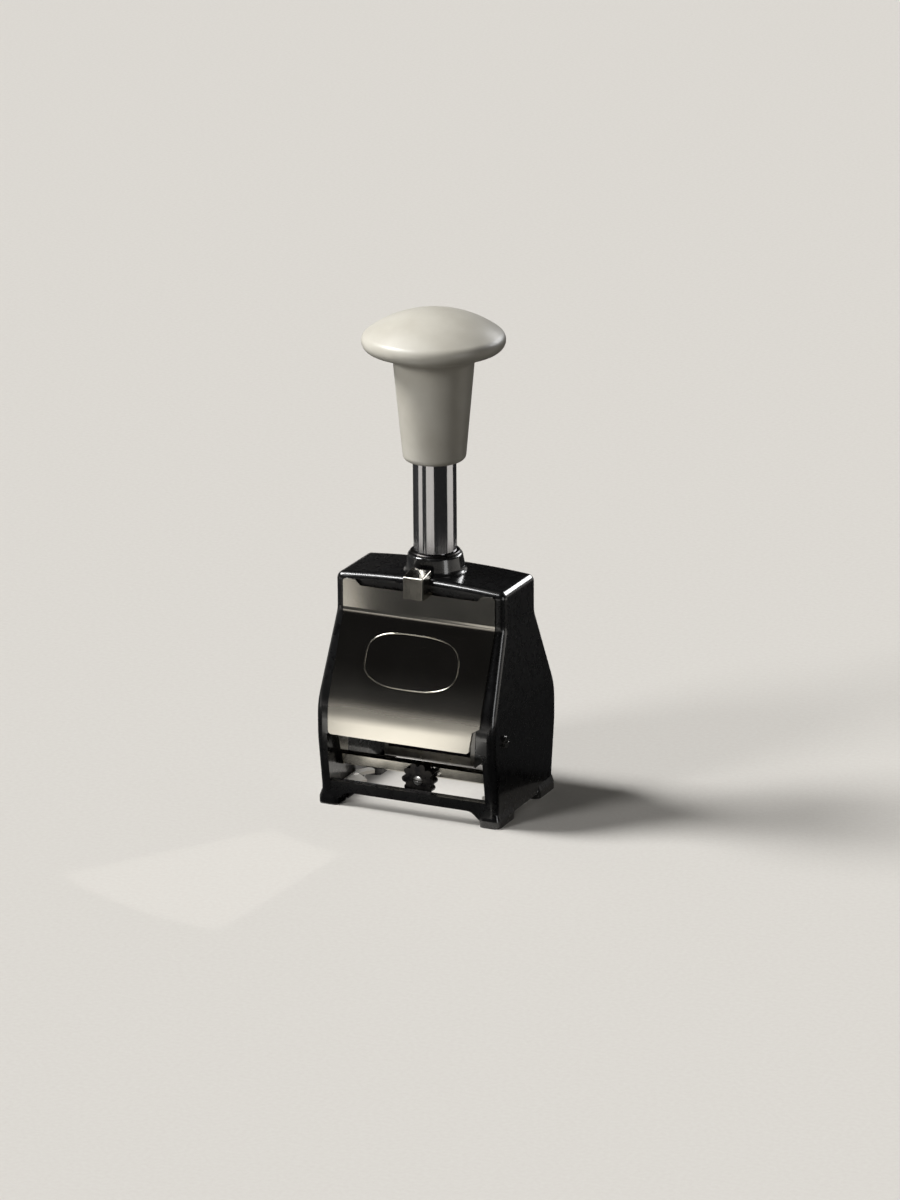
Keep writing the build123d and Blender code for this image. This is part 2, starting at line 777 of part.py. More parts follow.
with BuildPart() as stem_plug:
    with BuildSketch(Plane.XY.offset(plug_bottom)):
        Circle(stem_bore_radius - fit_gap)
    extrude(amount=plug_length)
stem_plug.part.label = "stem_plug"
export_step(stem_plug.part, "parts/stem_plug.step")

with BuildPart() as main_spring:
    coil_foot = pin_height + pin_radius + wire_size / 2 + fit_gap
    coil_height = plug_bottom - wire_size - fit_gap - coil_foot
    with BuildLine() as coil:
        Helix(
            pitch=coil_height / spring_turns,
            height=coil_height,
            radius=spring_radius,
            center=(0, 0, coil_foot),
        )
    with BuildSketch(Plane(origin=coil.line @ 0, z_dir=coil.line % 0)):
        Rectangle(wire_size, wire_size)
    sweep(is_frenet=True)
main_spring.part.label = "main_spring"
export_step(main_spring.part, "parts/main_spring.step")

with BuildPart() as knob:
    # one turned profile: a dome, a round rim, a sloping underside, a cove into the neck, and the bore
    rim_centre = knob_radius - rim_round
    rim_end = underside_slope - 90
    underside_start = (
        rim_centre + rim_round * cos(radians(rim_end)),
        rim_round * sin(radians(rim_end)),
    )
    rim_height = (
        neck_top - underside_start[1] + (underside_start[0] - neck_top_radius) * tan(radians(underside_slope))
    )
    dome_radius = (rim_centre**2 + dome_height**2 - rim_round**2) / (2 * (dome_height - rim_round))
    dome_centre = rim_height + dome_height - dome_radius
    dome_end = degrees(atan2(rim_height - dome_centre, rim_centre))
    bore = stem_radius + fit_gap
    bore_top = stem_top + fit_gap
    with BuildSketch(Plane.XZ) as knob_outline:
        with BuildLine():
            CenterArc((0, dome_centre), dome_radius, dome_end, 90 - dome_end)
            CenterArc((rim_centre, rim_height), rim_round, rim_end, dome_end - rim_end)
            FilletPolyline(
                (underside_start[0], rim_height + underside_start[1]),
                (neck_top_radius, neck_top),
                (neck_bottom_radius, neck_bottom),
                (bore, neck_bottom),
                (bore, bore_top),
                (0, bore_top),
                radius=[neck_cove, neck_corner, 0, 0],
            )
            Line((0, bore_top), (0, rim_height + dome_height))
        make_face()
    revolve(axis=Axis.Z)
knob.part.label = "knob"
export_step(knob.part, "parts/knob.step")


# ============================================================ carriage =====
with BuildPart() as carriage_yoke:
    with BuildSketch(Plane.YZ) as cheek_outline:
        with Locations((0, axle_height)):
            Circle(yoke_half_depth - yoke_taper)
        with Locations((0, (yoke_top + yoke_bottom) / 2)):
            Rectangle(2 * yoke_half_depth, yoke_top - yoke_bottom)
        make_hull()
        with Locations((0, axle_height)):
            Circle(axle_radius + fit_gap, mode=Mode.SUBTRACT)
    for side in (-1, 1):
        cheek = cheek_outline.sketch.moved(Location((side * yoke_inner, 0, 0)))
        extrude(cheek, amount=yoke_wall, dir=(side, 0, 0))
    with Locations((0, 0, yoke_bottom)):
        Box(
            2 * yoke_outer,
            2 * yoke_half_depth,
            yoke_top - yoke_bottom,
            align=(Align.CENTER, Align.CENTER, Align.MIN),
        )
        Cylinder(
            buffer_radius,
            yoke_top - yoke_bottom,
            align=(Align.CENTER, Align.CENTER, Align.MIN),
        )
        Cylinder(stem_radius + fit_gap, 4 * yoke_top, mode=Mode.SUBTRACT)
    with Locations((0, comb_screw_y, yoke_bottom)):
        with GridLocations(2 * comb_screw_x, 0, 2, 1):
            Cylinder(small_screw_radius + fit_gap, 2 * comb_screw_length, mode=Mode.SUBTRACT)
    # two slots from the middle to the back, where the feed arm's sides come up
    with Locations((0, 0, yoke_bottom)):
        with GridLocations(feed_inner + feed_outer, 0, 2, 1):
            Box(
                feed_thickness + 2 * side_gap,
                2 * yoke_half_depth,
                2 * yoke_block,
                align=(Align.CENTER, Align.MIN, Align.CENTER),
                mode=Mode.SUBTRACT,
            )
carriage_yoke.part.label = "carriage_yoke"
export_step(carriage_yoke.part, "parts/carriage_yoke.step")

with BuildPart() as buffer_washer:
    with BuildSketch(Plane.XY.offset(yoke_top)):
        Circle(buffer_radius)
        Circle(stem_radius + fit_gap, mode=Mode.SUBTRACT)
    extrude(amount=buffer_height)
buffer_washer.part.label = "buffer_washer"
export_step(buffer_washer.part, "parts/buffer_washer.step")

with BuildPart() as wheel_axle:
    with Locations(Location((0, 0, axle_height), (0, 90, 0))):
        Cylinder(axle_radius, 2 * axle_half)
    chamfer(wheel_axle.edges().filter_by(GeomType.CIRCLE), length=axle_chamfer)
wheel_axle.part.label = "wheel_axle"
export_step(wheel_axle.part, "parts/wheel_axle.step")

with BuildPart() as axle_nuts:
    with BuildSketch(Plane.YZ) as nut_outline:
        with Locations((0, axle_height)):
            RegularPolygon(nut_radius, 6)
            Circle(axle_radius + fit_gap, mode=Mode.SUBTRACT)
    for side in (-1, 1):
        nut = nut_outline.sketch.moved(Location((side * nut_inner, 0, 0)))
        extrude(nut, amount=nut_height, dir=(side, 0, 0))
axle_nuts.part.label = "axle_nuts"
export_step(axle_nuts.part, "parts/axle_nuts.step")

# a number wheel is a drum with ten type blocks, and a ratchet on its right-hand side
block_face = (wheel_radius**2 - (type_length / 2) ** 2) ** 0.5
tooth_angle = 360 / digits
for index in range(wheel_count):
    left_side = (index - wheel_count / 2) * wheel_pitch + wheel_gap / 2
    with BuildPart() as number_wheel:
        with BuildSketch(Plane.YZ.offset(left_side)) as drum:
            with Locations((0, axle_height)):
                Circle(drum_radius)
                with PolarLocations(block_face, digits, start_angle=-90):
                    Rectangle(2 * type_height, type_length, align=(Align.MAX, Align.CENTER))
        extrude(amount=drum_width)
        with BuildSketch(Plane.YZ.offset(left_side + drum_width)) as ratchet:
            teeth = []
            for tooth in range(digits):
                for turn, radius in ((0, ratchet_radius), (ratchet_lean, ratchet_radius - ratchet_depth)):
                    angle = radians((tooth + turn) * tooth_angle)
                    teeth.append((radius * cos(angle), axle_height + radius * sin(angle)))
            with BuildLine():
                Polyline(*teeth, close=True)
            make_face()
        extrude(amount=ratchet_width)
        with Locations(Location((0, 0, axle_height), (0, 90, 0))):
            Cylinder(axle_radius + running_gap, frame_width, mode=Mode.SUBTRACT)
    name = f"number_wheel_{index + 1}"
    number_wheel.part.label = name
    export_step(number_wheel.part, f"parts/{name}.step")

# the leaf springs that hold each wheel at its figure
with BuildPart() as detent_comb:
    leaf_reach = wheel_radius + side_gap + comb_thickness / 2
    leaf_tip = (
        leaf_reach * sin(radians(leaf_angle)),
        axle_height + leaf_reach * cos(radians(leaf_angle)),
    )
    base_z = comb_top - comb_thickness / 2
    with BuildSketch(Plane.YZ) as leaf_outline:
        with BuildLine() as leaf_line:
            FilletPolyline(
                (-comb_front, base_z),
                (yoke_half_depth - comb_thickness, base_z),
                leaf_tip,
                radius=leaf_bend,
            )
        trace(leaf_line.line, line_width=comb_thickness)
    for index in range(wheel_count):
        leaf_left = (index - wheel_count / 2) * wheel_pitch + wheel_gap / 2
        leaf = leaf_outline.sketch.moved(Location((leaf_left, 0, 0)))
        extrude(leaf, amount=drum_width)
    with Locations((0, -comb_front, comb_top)):
        Box(
            2 * stack_half,
            comb_front + comb_back,
            comb_thickness,
            align=(Align.CENTER, Align.MIN, Align.MAX),
        )
    with Locations((0, comb_screw_y, comb_top)):
        with GridLocations(2 * comb_screw_x, 0, 2, 1):
            Cylinder(small_screw_radius + fit_gap, 4 * comb_thickness, mode=Mode.SUBTRACT)
detent_comb.part.label = "detent_comb"
export_step(detent_comb.part, "parts/detent_comb.step")

with BuildPart() as comb_screws:
    with Locations((0, comb_screw_y, comb_top - comb_thickness)):
        with GridLocations(2 * comb_screw_x, 0, 2, 1):
            Cylinder(
                small_head_radius,
                small_head_height,
                align=(Align.CENTER, Align.CENTER, Align.MAX),
            )
            Cylinder(
                small_screw_radius,
                comb_thickness + comb_screw_length,
                align=(Align.CENTER, Align.CENTER, Align.MIN),
            )
comb_screws.part.label = "comb_screws"
export_step(comb_screws.part, "parts/comb_screws.step")


def swing_arm_outline(lobes, slot):
    """An arm on the wheel axle: the hull of its lobes, less its bore and its cam slot."""
    with BuildSketch(Plane.YZ) as outline:
        for lobe_y, lobe_z, lobe_radius in lobes:
            with Locations((lobe_y, lobe_z)):
                Circle(lobe_radius)
        make_hull()
        Circle(axle_radius + running_gap, mode=Mode.SUBTRACT)
        add(slot.sketch_local, mode=Mode.SUBTRACT)
    return outline.sketch.moved(Location((0, 0, axle_height)))


slot_rim = stud_radius + side_gap + slot_wall

with BuildPart() as feed_arm:
    feed_slot = cam_slot(feed_per_mm)
    bar_angle = radians(feed_bar_angle)
    bar_y = -feed_bar_reach * cos(bar_angle)
    bar_z = feed_bar_reach * sin(bar_angle)
    lobes = [(0, 0, arm_hub_radius), (bar_y, bar_z, feed_bar_lobe)]
    lobes += [(y, z, slot_rim) for y, z in cam_slot_points(feed_per_mm, 3)]
    outline = swing_arm_outline(lobes, feed_slot)
    for side in (-1, 1):
        extrude(
            outline.moved(Location((side * feed_inner, 0, 0))),
            amount=feed_thickness,
            dir=(side, 0, 0),
        )
    with Locations(Location((0, bar_y, axle_height + bar_z), (0, 90, 0))):
        Cylinder(feed_bar_radius, 2 * feed_outer)
feed_arm.part.label = "feed_arm"
export_step(feed_arm.part, "parts/feed_arm.step")

with BuildPart() as feed_pawl:
    # a sleeve on the feed arm's bar, with one finger to each wheel's ratchet
    tip_angle = radians(feed_bar_angle - pawl_lead)
    tip_reach = ratchet_radius + side_gap
    tip = (-tip_reach * cos(tip_angle), axle_height + tip_reach * sin(tip_angle))
    with Locations(Location((0, bar_y, axle_height + bar_z), (0, 90, 0))):
        Cylinder(feed_bar_radius + running_gap + pawl_wall, 2 * stack_half)
    with BuildSketch(Plane.YZ) as finger_outline:
        with Locations((bar_y, axle_height + bar_z)):
            Circle(feed_bar_radius + running_gap + pawl_wall)
        with Locations(tip):
            Circle(pawl_tip_radius)
        make_hull()
    for index in range(wheel_count):
        finger_left = (index + 1 - wheel_count / 2) * wheel_pitch - wheel_gap / 2 - ratchet_width
        finger = finger_outline.sketch.moved(Location((finger_left + finger_side_gap, 0, 0)))
        extrude(finger, amount=ratchet_width - 2 * finger_side_gap)
    with Locations(Location((0, bar_y, axle_height + bar_z), (0, 90, 0))):
        Cylinder(feed_bar_radius + running_gap, frame_width, mode=Mode.SUBTRACT)
feed_pawl.part.label = "feed_pawl"
export_step(feed_pawl.part, "parts/feed_pawl.step")

with BuildPart() as cam_studs:
    for side in (-1, 1):
        with Locations(Location((side * stud_inner, stud_y, stud_z), (0, 90, 0))):
            Cylinder(
                stud_radius,
                stud_outer - stud_inner,
                align=(Align.CENTER, Align.CENTER, Align.MIN if side > 0 else Align.MAX),
            )
cam_studs.part.label = "cam_studs"
export_step(cam_studs.part, "parts/cam_studs.step")


# ============================================================ ink pad ======
pad_lobes = [(0, 0, arm_hub_radius)]
pad_lobes += [(side * (tray_half - tray_round), tray_round - tray_bottom, tray_round) for side in (-1, 1)]
pad_lobes += [(y, z, slot_rim) for y, z in cam_slot_points(pad_per_mm, 3)]
pad_arm_outline = swing_arm_outline(pad_lobes, cam_slot(pad_per_mm))
for name, side in (("pad_arm_left", -1), ("pad_arm_right", 1)):
    with BuildPart() as pad_arm:
        extrude(
            pad_arm_outline.moved(Location((side * arm_inner, 0, 0))),
            amount=arm_thickness,
            dir=(side, 0, 0),
        )
    pad_arm.part.label = name
    export_step(pad_arm.part, f"parts/{name}.step")

with BuildPart() as pad_tray:
    with Locations((0, 0, axle_height - tray_bottom)):
        Box(
            2 * arm_inner,
            2 * tray_half,
            tray_bottom - tray_rim,
            align=(Align.CENTER, Align.CENTER, Align.MIN),
        )
    fillet(pad_tray.edges().filter_by(Axis.X).group_by(Axis.Z)[0], radius=tray_round)
    with Locations((0, 0, axle_height - tray_floor)):
        Box(
            2 * (arm_inner - tray_wall),
            2 * (pad_half_length + fit_gap),
            tray_bottom,
            align=(Align.CENTER, Align.CENTER, Align.MIN),
            mode=Mode.SUBTRACT,
        )
pad_tray.part.label = "pad_tray"
export_step(pad_tray.part, "parts/pad_tray.step")

with BuildPart() as ink_pad:
    with Locations((0, 0, axle_height - tray_floor)):
        Box(
            2 * (arm_inner - tray_wall - fit_gap),
            2 * pad_half_length,
            pad_thickness,
            align=(Align.CENTER, Align.CENTER, Align.MIN),
        )
    fillet(ink_pad.edges().group_by(Axis.Z)[-1], radius=pad_round)
ink_pad.part.label = "ink_pad"
export_step(ink_pad.part, "parts/ink_pad.step")
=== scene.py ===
# %% [markdown]
# # A hand numbering machine
#
# This file dresses a numbering machine, the tool that stamps a number which
# counts itself up.  Its solids come ready made from a CAD model, each in its
# place.  Here they get their finishes, and the details that are too fine for
# the solids are modelled: the figures on the wheels, the felt of the ink pad,
# the two wound springs, a screw's head and a bead on the front plate.
#
# Every Blender length is in metres.  The machine stands on the ground at the
# origin, with its plunger along +Z and its front towards -Y.

# %% Load the solids
from math import copysign, cos, inf, radians, sin, tau

import bmesh
import bpy
from mathutils import Matrix, Vector, noise


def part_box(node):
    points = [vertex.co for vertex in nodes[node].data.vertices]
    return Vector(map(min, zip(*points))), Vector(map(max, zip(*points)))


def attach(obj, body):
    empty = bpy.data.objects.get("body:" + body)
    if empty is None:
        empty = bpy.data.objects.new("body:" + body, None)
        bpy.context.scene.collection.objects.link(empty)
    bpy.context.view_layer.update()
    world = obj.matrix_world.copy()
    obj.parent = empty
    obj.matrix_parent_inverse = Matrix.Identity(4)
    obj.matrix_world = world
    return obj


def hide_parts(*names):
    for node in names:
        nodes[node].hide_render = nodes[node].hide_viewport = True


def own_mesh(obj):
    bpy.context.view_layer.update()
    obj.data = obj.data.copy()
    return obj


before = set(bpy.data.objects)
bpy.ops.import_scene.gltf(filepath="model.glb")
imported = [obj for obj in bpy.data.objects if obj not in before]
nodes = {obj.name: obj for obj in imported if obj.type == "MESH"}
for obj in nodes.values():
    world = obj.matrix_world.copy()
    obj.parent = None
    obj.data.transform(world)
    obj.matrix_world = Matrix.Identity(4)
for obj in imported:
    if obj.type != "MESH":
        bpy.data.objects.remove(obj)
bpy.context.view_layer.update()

# %% [markdown]
# ## The camera
#
# The machine is seen from a little to its right and from above, from two
# metres away through a long lens, so its upright lines stay nearly parallel.
# The camera's place follows from two angles.  Its three axes are built as
# vectors and put into a matrix, because that also holds the slight roll and
# the aim beside the machine's middle, which leaves room above it.

# %% Place the camera
view_turn, view_lift, view_roll = radians(25.26), radians(19.91), radians(0.468)
view_distance = 2.0
focal_pixels = 6051  # the focal length on an image 1200 pixels high
image_height = 1200
aim_right, aim_up = 12.74, 194.5  # pixels from the axis to the image's middle

towards = Vector((
    sin(view_turn) * cos(view_lift),
    -cos(view_turn) * cos(view_lift),
    sin(view_lift),
))
level_right = Vector((cos(view_turn), sin(view_turn), 0))
level_up = towards.cross(level_right)
right = level_right * cos(view_roll) - level_up * sin(view_roll)
up = level_right * sin(view_roll) + level_up * cos(view_roll)
forward = (right * aim_right + up * aim_up) / focal_pixels - towards
forward.normalize()
right = forward.cross(up).normalized()
up = right.cross(forward)

camera_data = bpy.data.cameras.new("camera")
camera_data.sensor_width = 36.0
camera_data.lens = focal_pixels * camera_data.sensor_width / image_height
camera = bpy.data.objects.new("camera", camera_data)
bpy.context.scene.collection.objects.link(camera)
camera.matrix_world = Matrix.Translation(towards * view_distance) @ Matrix(
    (right, up, -forward)
).transposed().to_4x4()
bpy.context.scene.camera = camera
bpy.context.scene.view_settings.view_transform = "Standard"
print("camera at", [round(v, 3) for v in camera.location], "lens", round(camera_data.lens, 1))

# %% [markdown]
# ## Helpers for finishes
#
# A finish is a tree of shader nodes.  One function adds any node with its
# settings, its fixed inputs and what feeds it.  Colours are written the way
# a paint program shows them and turned to the linear values that Blender
# calculates with.
#
# Most of the patterns here are soft noise, read in millimetres, so that every
# scale is a real size: a noise scale of 1 / 6 gives patches about 6 mm across.
# Where a surface is drawn out along an axis, as brushed metal is, the
# coordinates along that axis are made smaller first.  A pattern then makes the
# roughness, the colour or the height of the surface uneven.

# %% Colours and nodes
def linear(hex_colour):
    """A colour such as #c9c4b8 as linear red, green, blue and alpha."""
    shown = [int(hex_colour[i : i + 2], 16) / 255 for i in (1, 3, 5)]
    light = [c / 12.92 if c <= 0.04045 else ((c + 0.055) / 1.055) ** 2.4 for c in shown]
    return (*light, 1.0)


def add_node(tree, kind, values=None, feeds=None, **settings):
    """One shader node with its settings, its fixed inputs and what feeds it.

    An input goes by its name, or by its number where several share a name.
    It is fed by an output, or by a node, which stands for its first output.
    """
    new = tree.nodes.new(kind)
    for name, value in settings.items():
        setattr(new, name, value)
    for socket, value in (values or {}).items():
        new.inputs[socket].default_value = value
    for socket, source in (feeds or {}).items():
        output = source.outputs[0] if isinstance(source, bpy.types.Node) else source
        tree.links.new(output, new.inputs[socket])
    return new


print("mid grey #808080 is", round(linear("#808080")[0], 3), "of white in linear light")

# %% Start a finish
finishes = {}


def start_finish(name, colour, roughness, metallic=0.0):
    """Makes a material and returns its tree, its shader and the coordinates in millimetres."""
    finish = finishes[name] = bpy.data.materials.new(name)
    finish.use_nodes = True
    finish.diffuse_color = linear(colour)
    tree = finish.node_tree
    tree.nodes.clear()
    shader = add_node(
        tree,
        "ShaderNodeBsdfPrincipled",
        {"Base Color": linear(colour), "Roughness": roughness, "Metallic": metallic},
    )
    add_node(tree, "ShaderNodeOutputMaterial", feeds={"Surface": shader})
    place = add_node(tree, "ShaderNodeTexCoord")
    in_mm = add_node(
        tree,
        "ShaderNodeVectorMath",
        {"Scale": 1000.0},
        {0: place.outputs["Object"]},
        operation="SCALE",
    )
    return tree, shader, in_mm


print("a finish can be started")

# %% Make a surface uneven
noise_range = {"From Min": 0.3, "From Max": 0.7}  # where most of the noise lies


def two_tints(tree, pattern, first, second):
    """The colour that a pattern mixes out of two."""
    spread = {**noise_range, "To Min": 0.0, "To Max": 1.0}
    share = add_node(tree, "ShaderNodeMapRange", spread, {"Value": pattern})
    colours = {6: linear(first), 7: linear(second)}
    mix = add_node(tree, "ShaderNodeMix", colours, {"Factor": share}, data_type="RGBA")
    return mix.outputs[2]


def uneven(tree, shader, pattern, roughness=None, tints=None, relief_mm=None):
    """Lets a pattern change a finish: how rough it is, its colour and its surface's height."""
    if roughness:
        spread = {**noise_range, "To Min": roughness[0], "To Max": roughness[1]}
        fitted = add_node(tree, "ShaderNodeMapRange", spread, {"Value": pattern})
        tree.links.new(fitted.outputs["Result"], shader.inputs["Roughness"])
    if tints:
        tree.links.new(two_tints(tree, pattern, *tints), shader.inputs["Base Color"])
    if relief_mm:
        strength = {"Distance": relief_mm / 1000, "Strength": 1.0}
        bump = add_node(tree, "ShaderNodeBump", strength, {"Height": pattern})
        tree.links.new(bump.outputs["Normal"], shader.inputs["Normal"])


print("noise between", *noise_range.values(), "is spread over the whole range")

# %% [markdown]
# ## Black enamel
#
# The frame is a zinc or iron casting, dipped in black enamel and baked.  The
# enamel flows, so it rounds the edges and is glossy, but the rough casting
# still shows through as a slight waviness, and the coat itself has the fine
# skin called orange peel.  The gloss is a clear coat over a nearly black
# base; two scales of noise carry the waviness and the peel.

# %% Baked black enamel
tree, shader, at_mm = start_finish("baked_enamel", "#08080a", 0.3)
waves = add_node(tree, "ShaderNodeTexNoise", {"Scale": 1 / 6.0, "Detail": 1.0}, {"Vector": at_mm})
peel = add_node(tree, "ShaderNodeTexNoise", {"Scale": 1 / 0.9, "Detail": 1.0}, {"Vector": at_mm})
skin = add_node(tree, "ShaderNodeMath", {1: 0.06}, {0: peel, 2: waves}, operation="MULTIPLY_ADD")
dust = add_node(tree, "ShaderNodeTexNoise", {"Scale": 1 / 2.5, "Detail": 5.0}, {"Vector": at_mm})
uneven(tree, shader, skin, relief_mm=0.035)
uneven(tree, shader, dust, roughness=(0.24, 0.34))
uneven(tree, shader, waves, tints=("#070708", "#0d0d0e"))
shader.inputs["Coat Weight"].default_value = 1.0
shader.inputs["Coat Roughness"].default_value = 0.09
print("baked enamel: waves 6 mm, peel 0.9 mm")

# %% [markdown]
# ## Nickel and chrome plate
#
# The plates, the bridge bar and the slide button are pressed from sheet and
# nickel plated.  The two plates were brushed first, which leaves a fine grain
# across them and blurs what they mirror.  The bar and the button were
# polished, and the small sights were left satin.  Nickel is a little warmer
# than chrome.
#
# How much a surface blurs is its roughness.  Low down, where fingers hold the
# machine, the plates are rubbed dull.  Higher up they are nearly a mirror.
# So their roughness is read from the height, and soft clouds make it uneven.
#
# The stem is harder: it is turned, ground and plated bright, and keeps only
# fine rubbing marks along its length.

# %% Brushed nickel plate
tree, shader, at_mm = start_finish("brushed_nickel", "#d6d2c8", 0.26, metallic=1.0)
# the grain is 0.1 mm on the real sheet, drawn at 0.25 mm so that it shows
along = add_node(
    tree, "ShaderNodeVectorMath", {1: (0.02, 1.0, 1.0)}, {0: at_mm}, operation="MULTIPLY"
)
grain = add_node(tree, "ShaderNodeTexNoise", {"Scale": 1 / 0.25, "Detail": 2.0}, {"Vector": along})
clouds = add_node(tree, "ShaderNodeTexNoise", {"Scale": 1 / 14.0, "Detail": 2.0}, {"Vector": at_mm})
uneven(tree, shader, grain, relief_mm=0.003)
uneven(tree, shader, clouds, tints=("#d2cec4", "#dad6cc"))

height_mm = add_node(tree, "ShaderNodeSeparateXYZ", feeds={"Vector": at_mm}).outputs["Z"]
rubbed = add_node(
    tree,
    "ShaderNodeMapRange",
    {"From Min": 33.0, "From Max": 50.0, "To Min": 0.28, "To Max": 0.09},
    {"Value": height_mm},
)
cloudy = add_node(
    tree, "ShaderNodeMath", {1: 0.04}, {0: clouds, 2: rubbed}, operation="MULTIPLY_ADD"
)
tree.links.new(cloudy.outputs["Value"], shader.inputs["Roughness"])
print("brushed nickel: roughness 0.28 at the bottom, 0.09 from 50 mm up")

# %% Polished and satin nickel
tree, shader, at_mm = start_finish("polished_nickel", "#c4c0b6", 0.16, metallic=1.0)
clouds = add_node(tree, "ShaderNodeTexNoise", {"Scale": 1 / 6.0, "Detail": 3.0}, {"Vector": at_mm})
uneven(tree, shader, clouds, roughness=(0.15, 0.24), relief_mm=0.003)

tree, shader, at_mm = start_finish("satin_nickel", "#cfcbc2", 0.45, metallic=0.4)
along = add_node(
    tree, "ShaderNodeVectorMath", {1: (1.0, 0.05, 1.0)}, {0: at_mm}, operation="MULTIPLY"
)
hatching = add_node(
    tree, "ShaderNodeTexNoise", {"Scale": 1 / 0.3, "Detail": 2.0}, {"Vector": along}
)
uneven(tree, shader, hatching, roughness=(0.36, 0.5), relief_mm=0.008)
print("nickel: brushed, polished and satin")

# %% Bright plated stem
tree, shader, at_mm = start_finish("bright_plating", "#cfced0", 0.08, metallic=1.0)
along = add_node(
    tree, "ShaderNodeVectorMath", {1: (1.0, 1.0, 0.02)}, {0: at_mm}, operation="MULTIPLY"
)
rubbing = add_node(tree, "ShaderNodeTexNoise", {"Scale": 1 / 0.3, "Detail": 2.0}, {"Vector": along})
uneven(tree, shader, rubbing, roughness=(0.06, 0.12), relief_mm=0.002)
print("bright plating: rubbing marks 0.3 mm apart")

# %% [markdown]
# ## Handle
#
# The knob is turned or moulded in one piece and painted a pale warm grey.
# Palms have left it satin and slightly patchy, with fine scuffs that are
# duller than the rest.

# %% Satin painted handle
tree, shader, at_mm = start_finish("satin_handle", "#d5d0c3", 0.42)
hands = add_node(tree, "ShaderNodeTexNoise", {"Scale": 1 / 11.0, "Detail": 4.0}, {"Vector": at_mm})
scuffs = add_node(tree, "ShaderNodeTexNoise", {"Scale": 1 / 0.8, "Detail": 5.0}, {"Vector": at_mm})
uneven(tree, shader, hands, tints=("#cfcabd", "#dbd7cb"))
uneven(tree, shader, scuffs, roughness=(0.34, 0.52), relief_mm=0.012)
shader.inputs["Coat Weight"].default_value = 0.15
shader.inputs["Coat Roughness"].default_value = 0.3
print("painted handle: patches 11 mm, scuffs 0.8 mm")

# %% [markdown]
# ## The working steel
#
# Arms, nuts, axle and studs are machined steel, grey and slightly streaked
# by the tool.  The selector, its stud and the stem's bush were heated and
# oiled, which leaves them nearly black.  Spring wire is drawn through a die,
# so it is smooth and stays grey.

# %% Machined steel
tree, shader, at_mm = start_finish("machined_steel", "#8d8c8b", 0.33, metallic=1.0)
along = add_node(
    tree, "ShaderNodeVectorMath", {1: (0.05, 1.0, 1.0)}, {0: at_mm}, operation="MULTIPLY"
)
streaks = add_node(
    tree, "ShaderNodeTexNoise", {"Scale": 1 / 0.35, "Detail": 3.0}, {"Vector": along}
)
stains = add_node(tree, "ShaderNodeTexNoise", {"Scale": 1 / 4.0, "Detail": 5.0}, {"Vector": at_mm})
uneven(tree, shader, streaks, relief_mm=0.006)
uneven(tree, shader, stains, roughness=(0.26, 0.42), tints=("#7d7b78", "#9b9a98"))
print("machined steel: streaks 0.35 mm, stains 4 mm")

# %% Blackened steel and spring wire
tree, shader, at_mm = start_finish("blackened_steel", "#2b2a2b", 0.3, metallic=1.0)
bloom = add_node(tree, "ShaderNodeTexNoise", {"Scale": 1 / 2.0, "Detail": 4.0}, {"Vector": at_mm})
uneven(
    tree, shader, bloom, roughness=(0.22, 0.4), tints=("#242325", "#3a3836"), relief_mm=0.01
)

tree, shader, at_mm = start_finish("spring_wire", "#6f6d6a", 0.28, metallic=1.0)
drawing = add_node(tree, "ShaderNodeTexNoise", {"Scale": 1 / 0.2, "Detail": 2.0}, {"Vector": at_mm})
uneven(tree, shader, drawing, roughness=(0.2, 0.36), relief_mm=0.004)
print("steels: machined, blackened and drawn")

# %% [markdown]
# ## Wheels, rubber and felt
#
# The number wheels are hard brass, dulled, and black with old ink wherever
# the pad has touched them.  The ink lies on the figures, that is on
# everything beyond a certain distance from the axle, so the finish measures
# that distance and darkens the metal by it.  A wheel turns about the axle,
# and the distance stays the same.
#
# The rubber of the plunger's stop is dull and gritty.  Felt soaked with ink
# is dark and blotched, and its loose fibres catch a little light, which is
# what sheen is for.

# %% How far a point is from the axle
axle_low, axle_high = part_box("wheel_axle")
axle = (axle_low + axle_high) / 2
tree, shader, at_mm = start_finish("inked_brass", "#8f7a4a", 0.34, metallic=1.0)
axle_place = (0.0, axle.y * 1000, axle.z * 1000)
from_axle = add_node(
    tree, "ShaderNodeVectorMath", {1: axle_place}, {0: at_mm}, operation="SUBTRACT"
)
across = add_node(
    tree, "ShaderNodeVectorMath", {1: (0.0, 1.0, 1.0)}, {0: from_axle}, operation="MULTIPLY"
)
reach = add_node(tree, "ShaderNodeVectorMath", feeds={0: across}, operation="LENGTH")
print("the wheel axle is", round(axle.z * 1000, 2), "mm above the ground")

# %% Inked brass wheels
blots = add_node(tree, "ShaderNodeTexNoise", {"Scale": 1 / 1.2, "Detail": 4.0}, {"Vector": at_mm})
uneven(tree, shader, blots, roughness=(0.28, 0.5), relief_mm=0.01)
inky = add_node(
    tree,
    "ShaderNodeMath",
    {1: 1.2},
    {0: blots, 2: reach.outputs["Value"]},
    operation="MULTIPLY_ADD",
)
ink_share = add_node(
    tree,
    "ShaderNodeMapRange",
    {"From Min": 8.2, "From Max": 9.2, "To Min": 0.05, "To Max": 0.9},
    {"Value": inky},
)
tint = add_node(
    tree,
    "ShaderNodeMix",
    {7: linear("#17141c")},
    {"Factor": ink_share, 6: two_tints(tree, blots, "#7c6a40", "#a08a58")},
    data_type="RGBA",
)
bare_share = add_node(
    tree,
    "ShaderNodeMapRange",
    {"From Min": 0.0, "From Max": 1.0, "To Min": 1.0, "To Max": 0.35},
    {"Value": ink_share},
)
tree.links.new(tint.outputs[2], shader.inputs["Base Color"])
tree.links.new(bare_share.outputs["Result"], shader.inputs["Metallic"])
print("ink begins about 7.6 mm from the axle and is full at 8.6 mm")

